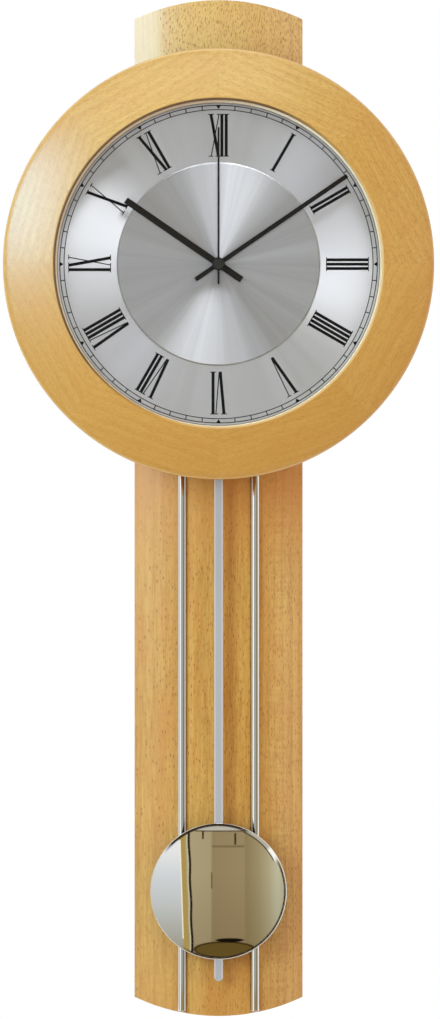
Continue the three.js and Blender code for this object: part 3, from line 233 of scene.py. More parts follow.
# %% World and floor
AMBIENT = 0.66
AMBIENT_TINT = (1, 0.78, 0.60, 1)
WHITE = (1, 1, 1, 1)
FLOOR_Z = -720 * MM
FLOOR_RADIUS = 0.62
FLOOR_PLAIN = 0.2
FLOOR_GREY = (0.80, 0.85, 0.95, 1)

world = bpy.data.worlds.new("studio")
bpy.context.scene.world = world
tree = bare_tree(world)
rays = node(tree, "LightPath").outputs
seen = math_node(tree, "MAXIMUM", rays["Is Camera Ray"], rays["Is Glossy Ray"])
seen = math_node(tree, "MAXIMUM", seen, rays["Is Transmission Ray"])
paper = node(tree, "Background", {"Color": WHITE, "Strength": 1.0})
soft = node(tree, "Background", {"Color": AMBIENT_TINT, "Strength": AMBIENT})
mixed = node(tree, "MixShader", {0: seen, 1: soft.outputs[0], 2: paper.outputs[0]})
node(tree, "OutputWorld", {"Surface": mixed.outputs[0]})

floor = settle(started("floor", bpy.ops.mesh.primitive_circle_add, vertices=96,
                       radius=FLOOR_RADIUS, fill_type="NGON", location=(0, 0, FLOOR_Z)))
pale_floor = bpy.data.materials.new("pale floor")
tree = bare_tree(pale_floor)
away = vector_node(tree, "DISTANCE", object_place(tree), (0, 0, FLOOR_Z), output="Value")
fading = ranged(tree, away, FLOOR_PLAIN, FLOOR_RADIUS * 0.95, smooth_step=True)
matt = node(tree, "BsdfDiffuse", {"Color": FLOOR_GREY})
clear = node(tree, "BsdfTransparent")
mixed = node(tree, "MixShader", {0: fading, 1: matt.outputs[0], 2: clear.outputs[0]})
node(tree, "OutputMaterial", {"Surface": mixed.outputs[0]})
floor.data.materials.append(pale_floor)
floor.visible_glossy = False
print("floor at height", FLOOR_Z)

# %% [markdown]
# Two kinds of lamps light the clock. The soft boxes give the plain light and are kept out of
# mirrors. The shine lamps light nothing plainly: they only show as gloss, each on the pieces that
# it is linked to further down.

# %% Lamps
BOARD_MIDDLE = (0, 0, -0.3)
HIGH_ON_BOARD = (0, 0, -0.1)
LOW_ON_BOARD = (0, 0, -0.45)
DIAL_MIDDLE = (0, 0, HEAD_Z)
COOL = (0.61, 0.94, 0.94)
IN_FRONT = (0, -3.6, -0.3)

# name: place, what it is aimed at, width and height, watts, colour
SOFT_BOXES = {
    "soft_box_left": ((-1.4, -1.6, 0.12), BOARD_MIDDLE, (0.9, 1.1), 28, COOL),
    "soft_box_above": ((0.1, -1.2, 1.3), HIGH_ON_BOARD, (1.1, 0.5), 5, (0.8, 1, 0.9)),
    "soft_box_right": ((1.8, -1.7, 0.1), BOARD_MIDDLE, (0.6, 1.2), 6, (0.86, 0.96, 0.82)),
    "soft_box_behind": ((0.9, 2.0, 0.6), BOARD_MIDDLE, (1.2, 1.4), 26, COOL),
}
SHINE_LAMPS = {
    "lacquer_sheen": ((-1.525, -1.37, 0.38), HIGH_ON_BOARD, (0.9, 0.9), 44, (0.24, 0.62, 1)),
    "lacquer_sheen_above": ((-0.2, -1.5, 1.3), HIGH_ON_BOARD, (1.6, 0.7), 11, (0.72, 1, 0.9)),
    "dial_flash": ((0.52, -1.2, 1.7), DIAL_MIDDLE, (1.2, 0.4), 33, (0.95, 0.96, 1)),
    "dial_second_flash": ((-0.4, -1.2, 1.7), DIAL_MIDDLE, (0.7, 0.4), 10, (0.92, 0.95, 1)),
    "dial_side_light": ((-1.5, -1.5, 1.3), DIAL_MIDDLE, (1.0, 0.9), 8, (0.74, 0.77, 0.95)),
    "metal_front": (IN_FRONT, BOARD_MIDDLE, (3.4, 3.0), 18, (0.55, 0.70, 1)),
    "rod_front": (IN_FRONT, BOARD_MIDDLE, (3.4, 3.0), 8.6, (0.13, 0.55, 1)),
    "rod_stripe": ((-1.65, -1.5, -0.35), LOW_ON_BOARD, (1.1, 2.2), 3.8, (1, 1, 1)),
    "ring_edge_sheen": ((-0.15, -0.3, 1.6), DIAL_MIDDLE, (1.4, 0.5), 11, (0.86, 0.96, 0.80)),
}


def lamp(name, where, aim, size, power, colour):
    """A soft box at a place, turned to what it lights."""
    data = bpy.data.lights.new(name, "AREA")
    data.shape = "RECTANGLE"
    data.size, data.size_y = size
    data.energy = power
    data.color = colour
    light = bpy.data.objects.new(name, data)
    bpy.context.scene.collection.objects.link(light)
    light.location = where
    light.rotation_euler = (Vector(aim) - Vector(where)).to_track_quat("-Z", "Y").to_euler()
    return light


for name, settings in SOFT_BOXES.items():
    lamp(name, *settings).visible_glossy = False
shine_lamps = {name: lamp(name, *settings) for name, settings in SHINE_LAMPS.items()}
for light in shine_lamps.values():
    light.visible_diffuse = False
print("lamps:", [*SOFT_BOXES, *SHINE_LAMPS])

# %% [markdown]
# Pictures made of nodes are sums of simple patterns. The helpers below name the sums that come
# up again and again, take vectors apart and put them together, and find what lies between two
# bounds.

# %% Helpers for sums
def times(tree, first, *others):
    for other in others:
        first = math_node(tree, "MULTIPLY", first, other)
    return first


def plus(tree, first, *others):
    for other in others:
        first = math_node(tree, "ADD", first, other)
    return first


def minus(tree, first, second):
    return math_node(tree, "SUBTRACT", first, second)


def times_plus(tree, first, factor, more):
    """first times factor, plus more."""
    return math_node(tree, "MULTIPLY_ADD", first, factor, more)


def length_of(tree, vector):
    return vector_node(tree, "LENGTH", vector, output="Value")


def axes(tree, vector):
    """The three parts of a vector."""
    return node(tree, "SeparateXYZ", {0: vector}).outputs[:]


def vector_of(tree, x=0.0, y=0.0, z=0.0):
    return node(tree, "CombineXYZ", {0: x, 1: y, 2: z}).outputs[0]


def between(tree, value, low, high, soft=0.006):
    """1 where a value lies between two bounds and 0 elsewhere, with soft edges."""
    rise = ranged(tree, value, low - soft, low + soft)
    fall = ranged(tree, value, high - soft, high + soft, 1, 0)
    return times(tree, rise, fall)


# %% [markdown]
# Colours are blended by a share, laid over one another in layers, or read off a ramp. A colour in
# three numbers is meant as a screen shows it.

# %% Helpers for colours
def as_colour(shade):
    return linear(*shade) if isinstance(shade, tuple) and len(shade) == 3 else shade


def blended(tree, share, first, second):
    """The first colour where the share is 0 and the second where it is 1."""
    inputs = {0: share, 6: as_colour(first), 7: as_colour(second)}
    return node(tree, "Mix", inputs, data_type="RGBA").outputs[2]


def painted(tree, colour, *layers):
    """Lays each (share, colour) over what is there."""
    for share, shade in layers:
        colour = blended(tree, share, colour, shade)
    return colour


def ramp(tree, value, low, high, stops):
    """A colour ramp over a value from low to high, its stops at places from 0 to 1."""
    made = node(tree, "ValToRGB", {0: ranged(tree, value, low, high)})
    elements = made.color_ramp.elements
    for number, (position, shade) in enumerate(stops):
        stop = elements[number] if number < 2 else elements.new(position)
        stop.position = position
        stop.color = linear(*shade)
    return made.outputs[0]


# %% [markdown]
# Polished metal shows the room more than itself, so it only looks right with a room to mirror.
# The room here is a dome that only mirrors see. It is painted as the bob will show it: across and
# up run from -1 to 1 over the bob's face, reach is the distance from its middle and turn the angle
# about it. A mirror dome turns a small slope into twice the angle, so the painting follows half
# angles. The camera stands a little above the bob, which shifts the picture upwards.

# %% Places on the bob's face
CHROME_SHARE = 0.85
DOME_RADIUS = 4.0
DOME_EDGE = math.radians(66)
CAMERA_SLANT = 0.045
LEAN = 0.04
WAVE_LEAN, WAVE_RATE, WAVE_SIZE = 0.036, 11, 0.005
RIM_ROUND = 0.5 * MM
BOB_RIM = 2.2 * MM

bob_base, bob_front = box_of("bob_shell")[4:]
bob_radius = half_width("bob_shell")
bob_z = middle_of("bob_shell")[1]
dome_radius = bob_radius - RIM_ROUND * 0.7
dome_rise = bob_front - bob_base - BOB_RIM
bob_sphere = (dome_radius ** 2 + dome_rise ** 2) / (2 * dome_rise)
edge_sine = bob_radius / bob_sphere


def bob_places(tree):
    """Where a point of the room shows on the bob, counted in several ways."""
    from_bob = vector_node(tree, "SUBTRACT", object_place(tree), at(0, bob_front, bob_z))
    way_x, way_y, way_z = axes(tree, vector_node(tree, "NORMALIZE", from_bob))
    half_sine = math_node(tree, "SQRT", times_plus(tree, way_y, 0.5, 0.5))
    reach = math_node(tree, "DIVIDE", half_sine, edge_sine)
    turn = math_node(tree, "ARCTAN2", way_z, way_x)
    across = times(tree, reach, math_node(tree, "COSINE", turn))
    up = times_plus(tree, reach, math_node(tree, "SINE", turn), CAMERA_SLANT)
    squares = plus(tree, times(tree, across, across), times(tree, up, up))
    wave = times_plus(tree, math_node(tree, "SINE", times(tree, up, WAVE_RATE)), WAVE_SIZE, across)
    return {
        "reach": reach, "turn": turn, "across": across, "up": up,
        "rim": math_node(tree, "SQRT", squares),
        "slant": times_plus(tree, up, LEAN, across),
        "wavy": times_plus(tree, up, WAVE_LEAN, wave),
    }


def oval(tree, across, up, middle, half, soft=0.06):
    """1 inside an oval with the given middle and half sizes."""
    x = math_node(tree, "DIVIDE", minus(tree, across, middle[0]), half[0])
    y = math_node(tree, "DIVIDE", minus(tree, up, middle[1]), half[1])
    far = plus(tree, times(tree, x, x), times(tree, y, y))
    return ranged(tree, far, 1 - soft, 1 + soft, 1, 0)


print("bob radius", round(bob_radius, 4), "rise of its dome", round(dome_rise, 4))

# %% [markdown]
# The walls are two colour ramps, one that runs across and one that runs up. Everything else is a
# patch: it lies between bounds of one or two of the places above, or in an oval, and later patches
# cover earlier ones. A bound of 2 or -2 lies past the edge, so that side stays open. A third number
# is how soft the edge is.

# %% The room's painting
DEGREE = math.radians(1)
WALL_STOPS = (
    (0.29, (170, 156, 120)), (0.44, (166, 151, 115)), (0.455, (146, 128, 93)),
    (0.69, (152, 133, 97)), (0.705, (141, 123, 86)), (0.80, (155, 141, 103)),
    (0.87, (171, 160, 126)), (0.94, (188, 184, 156)), (1.0, (180, 170, 140)),
)
LEFT_WALL_STOPS = (
    (0.1, (160, 156, 142)), (0.26, (176, 176, 168)), (0.40, (190, 193, 190)),
    (0.60, (205, 209, 211)), (0.80, (228, 229, 227)),
)
LOW_SHADE = (96, 80, 48)
LOWER_RIM = (-118 * DEGREE, 24 * DEGREE, 0.1)


def room_patches(left_wall):
    """Where each patch lies, and its colour."""
    return (
        # rail on the far wall
        ({"across": (-0.10, 0.385), "up": (0.66, 0.69)}, (122, 104, 72)),
        # tall frame with a light and a dark gap beside it
        ({"slant": (-0.56, -0.475, 0.012)}, (170, 144, 77)),
        ({"wavy": (-0.454, -0.436)}, (205, 196, 160)),
        ({"wavy": (-0.435, -0.400)}, (22, 14, 4)),
        # thin post on the far wall
        ({"across": (-0.11, -0.095, 0.003), "up": (0.05, 0.29)}, (84, 66, 34)),
        # left wall and its bright corner
        ({"slant": (-2, -0.545), "up": (-2, 0.76, 0.01)}, left_wall),
        ({"slant": (-0.556, -0.542, 0.004), "up": (-0.7, 0.76, 0.01)}, (250, 244, 222)),
        # two hangers under the ceiling
        ({"across": (-0.249, -0.221, 0.003), "up": (0.785, 0.93)}, (50, 38, 12)),
        ({"across": (0.236, 0.266, 0.003), "up": (0.70, 0.87)}, (58, 44, 20)),
        # table below: its edge, its top and the shadow on it
        ({"oval": ((0.09, -0.86), (0.46, 0.122))}, (60, 46, 20)),
        ({"oval": ((0.09, -0.865), (0.42, 0.102))}, (97, 77, 35)),
        ({"oval": ((0.165, -0.722), (0.21, 0.03), 0.2)}, (20, 14, 8)),
        # ceiling and its edge
        ({"across": (-0.36, 0.44, 0.03), "up": (0.893, 0.91, 0.004)}, (70, 58, 36)),
        ({"across": (-0.45, 0.44, 0.03), "up": (0.91, 2, 0.004)}, (184, 179, 166)),
        # lit window at the upper right: its outline, its glow and its brightest part
        ({"reach": (0.912, 0.932, 0.004), "turn": (26 * DEGREE, 66 * DEGREE, 0.03)}, (48, 38, 20)),
        ({"reach": (0.93, 0.98), "turn": (27 * DEGREE, 64 * DEGREE, 0.03)}, (180, 175, 160)),
        ({"reach": (0.93, 0.985), "turn": (25 * DEGREE, 38 * DEGREE, 0.03)}, (250, 249, 240)),
        # the room's far edge: dark at the top, dark and then light round the right and below
        ({"rim": (0.972, 2, 0.004), "turn": (64 * DEGREE, 142 * DEGREE, 0.1)}, (50, 40, 24)),
        ({"rim": (0.972, 0.99, 0.004), "turn": LOWER_RIM}, (40, 31, 18)),
        ({"rim": (0.99, 2, 0.004), "turn": LOWER_RIM}, (240, 230, 204)),
    )


def room_colour(tree):
    places = bob_places(tree)
    across, up = places["across"], places["up"]
    colour = ramp(tree, across, -1, 1, WALL_STOPS)
    colour = blended(tree, ranged(tree, up, -0.8, 0.3, 0.3, 0.0), colour, LOW_SHADE)
    left_wall = ramp(tree, up, -1, 1, LEFT_WALL_STOPS)
    for bounds, shade in room_patches(left_wall):
        shares = [oval(tree, across, up, *limits) if name == "oval"
                  else between(tree, places[name], *limits) for name, limits in bounds.items()]
        colour = blended(tree, times(tree, *shares), colour, shade)
    return colour


print("patches painted on the room:", len(room_patches(None)))

# %% [markdown]
# The dome is a cap cut from a big sphere, in front of the clock and centred on the bob. Past its
# edge mirrors see the plain white. A board far to the left gives the rods and the rim of the bob a
# pale side wall to mirror. Both show to mirrors alone: the camera and the lamps' light pass them.

# %% The room's dome and the side flat
SIDE_FLAT_AT = (-2.7, -0.55, -0.35)
SIDE_FLAT_AIM = (0, -0.2, -0.35)
SIDE_FLAT_SIZE = (1.7, 3.0, 1)
SIDE_FLAT_SHADE = (188, 178, 160)


def lit(piece, name, strength, colour_of):
    """Gives a studio piece its own light, and keeps it out of all but mirrors."""
    material = bpy.data.materials.new(name)
    tree = bare_tree(material)
    glow = node(tree, "Emission", {"Color": colour_of(tree), "Strength": strength})
    node(tree, "OutputMaterial", {"Surface": glow.outputs[0]})
    piece.data.materials.append(material)
    for ray in ("camera", "diffuse", "transmission", "volume_scatter", "shadow"):
        setattr(piece, "visible_" + ray, False)


room = settle(started("studio_room", bpy.ops.mesh.primitive_uv_sphere_add, segments=96,
                      ring_count=48, radius=DOME_RADIUS, location=at(0, bob_front, bob_z)))
with edited(room):
    bpy.ops.mesh.bisect(plane_co=at(0, DOME_RADIUS * math.cos(DOME_EDGE), 0), plane_no=(0, 1, 0),
                        clear_outer=True)
lit(room, "studio room", 1 / CHROME_SHARE, room_colour)

facing = (Vector(SIDE_FLAT_AIM) - Vector(SIDE_FLAT_AT)).to_track_quat("Z", "Y").to_euler()
side_flat = started("side_flat", bpy.ops.mesh.primitive_plane_add, size=1,
                    location=SIDE_FLAT_AT, rotation=facing)
side_flat.scale = SIDE_FLAT_SIZE
lit(settle(side_flat), "side_flat", 1.0, lambda tree: linear(*SIDE_FLAT_SHADE))
print("studio room:", len(room.data.polygons), "faces")

# %% [markdown]
# A finish is a Principled shader whose inputs vary over the piece. Noise gives the variation.
# It is counted in periods per metre, across and along, so grain comes from noise that is
# stretched. A bump node turns a pattern's height into tiny slopes.

# %% Helpers for finishes
def noise(tree, vector, scale, detail=2.0, roughness=0.5):
    """Noise with so many periods per metre: one number, or one across and one along."""
    across, along = scale if isinstance(scale, tuple) else (scale, scale)
    spread = node(tree, "Mapping", {"Vector": vector, "Scale": (across, across, along)})
    inputs = {"Vector": spread.outputs[0], "Scale": 1.0, "Detail": detail, "Roughness": roughness}
    return node(tree, "TexNoise", inputs).outputs["Fac"]


def bumped(tree, height, strength, distance):
    inputs = {"Strength": strength, "Distance": distance, "Height": height}
    return node(tree, "Bump", inputs).outputs[0]


def new_finish(name):
    material = bpy.data.materials.new(name)
    material.use_nodes = True
    tree = material.node_tree
    return material, tree, tree.nodes["Principled BSDF"]


# %% [markdown]
# ## Beech
# Lacquered beech is pale honey brown, with straight grain, soft growth bands and the short dark
# flecks that give beech away. All of it is built from noise stretched along the grain. The flecks
# are cells that are long along the grain, each with a dark spindle in its middle. Pale washes go
# on before the flecks, because a wash over them would turn them grey.

# %% Beech finish
BEECH_FLECK = (146, 68, 6)
YEAR_WIDTH = 5.5 * MM
YEAR_WANDER = 30 * MM
FLECKS_ACROSS = 600
FLECKS_ALONG = 150
FLECK_WANDER = 2 * MM


def beech_flecks(tree, grain, drift, blush, plenty):
    """How dark the flecks are at a place, from 0 to 1."""
    grain_x, grain_y, grain_z = axes(tree, grain)
    wander = ranged(tree, blush, 0, 1, -1, 1)
    sheared = times_plus(tree, wander, FLECK_WANDER, plus(tree, grain_x, grain_y))
    cell_at = vector_of(tree, times(tree, sheared, FLECKS_ACROSS),
                        times(tree, grain_z, FLECKS_ALONG))
    cells = node(tree, "TexVoronoi", {"Vector": cell_at, "Scale": 1.0},
                 voronoi_dimensions="2D").outputs
    chance = node(tree, "SeparateColor", {0: cells["Color"]}).outputs[0]
    near = math_node(tree, "DIVIDE", cells["Distance"], ranged(tree, chance, 0, 1, 0.11, 0.27))
    spindle = ranged(tree, near, 1.0, 0.35, smooth_step=True)
    crowd = plus(tree, ranged(tree, drift, 0.38, 0.62, 0.2, -0.15), plenty)
    return times(tree, spindle, ranged(tree, plus(tree, chance, crowd), 0.22, 0.85))


def beech_on(tree, shader, grain, shades, tone, growth, pores, fleck_share, coat,
             plenty=0.0, washes=()):
    """Wires a beech surface whose grain space is across, depth and along, in metres."""
    pale, deep, warm = shades
    drift = noise(tree, grain, (17, 2.4))
    bands = noise(tree, grain, (210, 6), 3.0, 0.6)
    streaks = noise(tree, grain, (820, 60), 3.0, 0.65)
    blush = noise(tree, grain, (60, 14))
    fine = noise(tree, grain, (1500, 330), 2.0, 0.6)
    flecks = beech_flecks(tree, grain, drift, blush, plenty)

    mix = times_plus(tree, bands, 0.9, times(tree, drift, 0.8))
    mix = plus(tree, times_plus(tree, streaks, 1.2, mix), tone)
    wandering = times_plus(tree, drift, YEAR_WANDER, axes(tree, grain)[0])
    year = math_node(tree, "DIVIDE", wandering, YEAR_WIDTH)
    late = math_node(tree, "POWER", math_node(tree, "FRACT", year), 3)
    mix = minus(tree, mix, times(tree, late, growth))
    fill(tree, shader, {
        "Roughness": ranged(tree, streaks, 0.3, 0.7, 0.42, 0.50),
        "Normal": bumped(tree, times_plus(tree, flecks, -1.5, streaks), 0.05, 0.1 * MM),
        "Specular IOR Level": 0.3, "Coat Weight": coat[0], "Coat Roughness": coat[1],
    })
    return painted(
        tree, blended(tree, ranged(tree, mix, 1.05, 1.85), deep, pale),
        (ranged(tree, blush, 0.44, 0.72, 0, 0.5), warm), *washes,
        (times(tree, flecks, fleck_share), BEECH_FLECK),
        (times(tree, ranged(tree, fine, 0.5, 0.68), pores), BEECH_FLECK),
    )


print("beech: growth rings every", round(YEAR_WIDTH / MM, 1), "mm")

# %% [markdown]
# The board is one wide piece of wood, and its figure and tone differ from place to place. Its
# stub above the ring is paler, with more flecks and open pores, its right side is paler and shows
# growth lines, and it is darker at its foot. Three tones are painted light: a paler tone painted
# from below the ring upwards lifts the ring's shadow, a reddish painted shadow lies in the shade
# below the ring, and along the left strip, where the lamp's sheen falls, flecks and pores fade
# out as a painted highlight. These tones belong to the front, so each is faded out towards the
# back.

# %% Beech of the board
BOARD_SHADES = (224, 178, 98), (188, 130, 52), (206, 138, 62)
STUB_WASH, SIDE_WASH = (236, 212, 162), (230, 198, 152)
# the second colour is a reddish painted shadow, for the shade below the ring
FOOT_SHADE, PAINTED_SHADOW_TINT = (178, 106, 48), (222, 146, 74)

# each tone comes in or goes out between two places; a third number is the softness
FRONT = mm(-2, -7)
STUB, STUB_SLOWLY = mm(-60, -40), mm(-60, 10)
# painted highlight: flecks and pores fade out along the left strip, where the lamp's sheen falls
SHEEN_CORNER_EDGE, SHEEN_FLECK_FADE = mm(-42, -37), mm(-50, -34)
RIGHT_SIDE, RIPPLED_SIDE = mm(27, 44), mm(36, 50, 5)
# the second bound: where painted light comes in, paler upwards, which lifts the ring's shadow
LEFT_OF_BAR, PAINTED_LIGHT_RISE = mm(-22, -5, 3), mm(-450, -330)
# the first two: where the reddish painted shadow below the ring comes in and goes out
PAINTED_SHADOW_LOW, PAINTED_SHADOW_HIGH, FOOT = mm(-360, -300), mm(-200, -180), mm(-665, -590)

beech, tree, shader = new_finish("beech")
place = object_place(tree)
across, behind, rise = axes(tree, place)
in_front = ranged(tree, behind, *FRONT)
at_top = times(tree, ranged(tree, rise, *STUB), in_front)
# painted highlight: at the stub's left corner, under the sheen, flecks and pores are left out
sheen_corner = times(tree, ranged(tree, across, *SHEEN_CORNER_EDGE, 1, 0), at_top)
right_side = times(tree, ranged(tree, across, *RIGHT_SIDE), in_front)

ripples = ranged(tree, noise(tree, place, (70, 480)), 0.35, 0.65, -0.17, 0.17)
# the third part of the tone is painted light: the board is paler from below the ring upwards
tone = plus(tree, ranged(tree, rise, *STUB_SLOWLY, 0, 0.22),
            times(tree, between(tree, across, *LEFT_OF_BAR), 0.12),
            times(tree, ranged(tree, rise, *PAINTED_LIGHT_RISE), 0.16),
            times(tree, ripples, between(tree, across, *RIPPLED_SIDE)))
more_at_top = times(tree, in_front, ranged(tree, rise, *STUB_SLOWLY, 0, 0.5))
# fewer flecks along the left strip, a painted highlight where the sheen falls
plenty = plus(tree, ranged(tree, across, *SHEEN_FLECK_FADE, -0.35, 0), more_at_top)
colour = beech_on(
    tree, shader, place, BOARD_SHADES, tone=times(tree, tone, in_front),
    growth=times(tree, right_side, times_plus(tree, at_top, 0.4, 0.4)),
    pores=minus(tree, times_plus(tree, at_top, 0.3, 0.2), times(tree, sheen_corner, 0.4)),
    fleck_share=0.66, coat=(0.37, 0.17), plenty=minus(tree, plenty, sheen_corner),
    washes=((times(tree, right_side, 0.26), SIDE_WASH), (times(tree, at_top, 0.34), STUB_WASH)),
)
foot = times(tree, ranged(tree, rise, *FOOT, 0.26, 0), in_front)
# painted shadow: a reddish tint in the shade below the ring
painted_shadow = times(tree, ranged(tree, rise, *PAINTED_SHADOW_LOW, 0, 0.5), ranged(tree, rise, *PAINTED_SHADOW_HIGH, 1, 0),
              in_front)
colour = painted(tree, colour, (foot, FOOT_SHADE), (painted_shadow, PAINTED_SHADOW_TINT))
fill(tree, shader, {"Base Color": colour})
print("beech of the board:", len(tree.nodes), "nodes")

# %% [markdown]
# The ring is glued up from eight straight pieces and then turned, so its grain runs along eight
# chords. The finish finds the segment from the angle about the dial's centre, turns the grain
# space to that segment's chord and shifts it, so that neighbours differ in figure and tone. The
# lower segments are painted darker, as painted shade. The inner lip gets painted shade on the side
# away from the light and a painted highlight on the side towards it, and a painted highlight runs
# along the rounded outer edge.

# %% Beech of the glued-up ring
SEGMENTS = 8
SEGMENT_ANGLE = FULL_TURN / SEGMENTS
FACE_DROP = 12.5 * MM
EDGE_ROUND = 1.6 * MM
EDGE_DEPTH = ring_front - FACE_DROP - EDGE_ROUND
RING_SHADES = (220, 179, 104), (204, 156, 79), (212, 158, 84)
# painted shade for the lower segments, and a painted highlight for the rounded outer edge
RING_PAINTED_SHADE_BELOW, EDGE_HIGHLIGHT_SHADE = (198, 140, 56), (250, 222, 160)
# painted shade and painted highlight on the inner lip, by the side it turns to the light
LIP_PAINTED_SHADE, LIP_PAINTED_HIGHLIGHT = (84, 48, 10), (244, 216, 172)
LIP_EDGE, JOINT = mm(112.3, 112.8), mm(0.05, 0.25)
# where a painted highlight runs along the rounded outer edge
EDGE_HIGHLIGHT_BAND = (RING_RADIUS - 1.3 * MM, RING_RADIUS - 0.6 * MM)
SHIFT_ALONG, SHIFT_OUT = 0.731, 0.217
ODD_ANGLE, ODD_TONE, ODD_GROWTH = (-0.16, 0.16), (-0.06, 0.1), (0.5, 0.2)

ring_beech, tree, shader = new_finish("ring beech")
across, behind, height = axes(tree, object_place(tree))
rise = minus(tree, height, HEAD_Z)
turn = math_node(tree, "DIVIDE", math_node(tree, "ARCTAN2", across, rise), SEGMENT_ANGLE)
index = math_node(tree, "FLOOR", turn)
luck = node(tree, "TexWhiteNoise", {"W": index}, noise_dimensions="1D").outputs["Value"]
middle = plus(tree, times(tree, plus(tree, index, 0.5), SEGMENT_ANGLE),
              ranged(tree, luck, 0, 1, *ODD_ANGLE))
sine = math_node(tree, "SINE", middle)
cosine = math_node(tree, "COSINE", middle)
outward = times_plus(tree, across, sine, times(tree, rise, cosine))
along = minus(tree, times(tree, across, cosine), times(tree, rise, sine))
grain = vector_of(tree, times_plus(tree, index, SHIFT_OUT, outward), behind,
                  times_plus(tree, index, SHIFT_ALONG, along))

within = math_node(tree, "FRACT", turn)
to_joint = math_node(tree, "MINIMUM", within, minus(tree, 1, within))
radius = length_of(tree, vector_of(tree, across, 0, rise))
gap = times(tree, to_joint, SEGMENT_ANGLE, radius)
# which way the inner lip faces, for its painted shade and painted highlight
upper_left = minus(tree, times(tree, rise, 0.8), across)
facing = math_node(tree, "DIVIDE", upper_left, radius)
inner = ranged(tree, radius, *LIP_EDGE, 1, 0)
on_edge = ranged(tree, behind, -EDGE_DEPTH, -EDGE_DEPTH - 0.4 * MM)
# painted highlight along the rounded outer edge
edge_highlight = ranged(tree, radius, *EDGE_HIGHLIGHT_BAND, 0, 0.4)
colour = beech_on(
    tree, shader, grain, RING_SHADES, tone=ranged(tree, luck, 0, 1, *ODD_TONE),
    growth=ranged(tree, luck, 0, 1, *ODD_GROWTH), pores=0.32, fleck_share=0.16, coat=(0.6, 0.27),
)
colour = painted(
    tree, colour,
    (ranged(tree, gap, *JOINT, 0.15, 0, smooth_step=True), BEECH_FLECK),
    # painted shade: the lower segments are darker
    (ranged(tree, cosine, 0.5, -0.9, 0, 0.45), RING_PAINTED_SHADE_BELOW),
    # painted shade and painted highlight on the inner lip
    (times(tree, inner, ranged(tree, facing, -0.4, 0.4, 0, 0.92)), LIP_PAINTED_SHADE),
    (times(tree, inner, ranged(tree, facing, -0.3, -0.9, 0, 0.6)), LIP_PAINTED_HIGHLIGHT),
    # painted highlight on the rounded outer edge
    (times(tree, edge_highlight, on_edge), EDGE_HIGHLIGHT_SHADE),
)
fill(tree, shader, {"Base Color": colour})
print("ring beech:", SEGMENTS, "segments")

# %% [markdown]
# ## Shaping
# Many pieces of a clock are turned on a lathe. In Blender that is a profile spun round an axis.
# The profile starts as one point, grows by extruding that point from corner to corner, and the
# Spin operator turns it. Doubled points at the seam and on the axis are merged at the end.
# Blocks and drums only serve as blanks and as cutters for the holes.

# %% Helpers for turned pieces, blocks and drums
def turned(name, corners, centre, steps):
    """Corners of (radius, depth) spun about the depth axis through centre = (x, z)."""
    x, z = centre
    points = [at(x + radius, depth, z) for radius, depth in corners]
    piece = started(name, bpy.ops.mesh.primitive_plane_add, size=MM)
    with edited(piece):
        bpy.ops.mesh.merge(type="CENTER")
        bpy.ops.transform.translate(value=points[0])
        for here, there in zip(points, points[1:]):
            bpy.ops.mesh.extrude_region_move(TRANSFORM_OT_translate={"value": there - here})
        bpy.ops.mesh.select_all(action="SELECT")
        bpy.ops.mesh.spin(steps=steps, angle=FULL_TURN, center=at(x, 0, z), axis=(0, 1, 0))
        bpy.ops.mesh.select_all(action="SELECT")
        bpy.ops.mesh.remove_doubles(threshold=MM / 1000)
        bpy.ops.mesh.normals_make_consistent(inside=False)
    return piece


def block(name, left, right, bottom, top, back, front):
    """A block between two sides, two heights and two depths."""
    middle = at((left + right) / 2, (back + front) / 2, (bottom + top) / 2)
    piece = started(name, bpy.ops.mesh.primitive_cube_add, size=1, location=middle)
    piece.scale = (right - left, front - back, top - bottom)
    return settle(piece)


def drum(name, radius, x, z, back, front, sides=64):
    """A cylinder whose axis runs along the depth."""
    return settle(started(
        name, bpy.ops.mesh.primitive_cylinder_add, vertices=sides, radius=radius,
        depth=front - back, location=at(x, (back + front) / 2, z), rotation=(QUARTER_TURN, 0, 0),
    ))


def upright(name, radius, x, depth, bottom, top, sides=64):
    """A cylinder that stands up along Z."""
    return settle(started(
        name, bpy.ops.mesh.primitive_cylinder_add, vertices=sides, radius=radius,
        depth=top - bottom, location=at(x, depth, (bottom + top) / 2),
    ))


# %% [markdown]
# Holes and grooves are cut with a second solid, the cutter, which is used up. Sharp edges are
# then broken with a small bevel, because real edges always catch a line of light.

# %% Helpers for cutting and easing
def finish_with(piece, kind, **settings):
    """Adds a modifier and applies it at once."""
    pick(piece)
    modifier = piece.modifiers.new(kind.title(), kind)
    for name, value in settings.items():
        setattr(modifier, name, value)
    bpy.ops.object.modifier_apply(modifier=modifier.name)
    return piece


def carve(piece, cutter, operation="DIFFERENCE"):
    """Cuts or joins one closed piece with another, which is used up."""
    finish_with(piece, "BOOLEAN", object=cutter, operation=operation, solver="EXACT")
    bpy.data.objects.remove(cutter)
    return piece


def eased(piece, width, steps=2, angle=30):
    """Rounds the sharp edges a little, as sandpaper or a polishing wheel does."""
    finish_with(piece, "BEVEL", width=width, segments=steps, limit_method="ANGLE",
                angle_limit=math.radians(angle), use_clamp_overlap=True)
    return smooth(piece, angle)


def smooth(piece, angle=30):
    pick(piece)
    bpy.ops.object.shade_smooth_by_angle(angle=math.radians(angle))
    return piece


# %% [markdown]
# ## The backboard
# The board is flat behind and crowned in front, and its ends are cut to a curve. It starts as a
# long cylinder, which gives the crown. Bisecting it cuts the flat back and the straight sides, and
# big drums trim the ends.

# %% Board blank
BOARD_EDGE = 13 * MM
END_RISE = 12.4 * MM
PAST = 5 * MM
FINE_SIDES = 480
TRIMMER_WIDER = 1.5

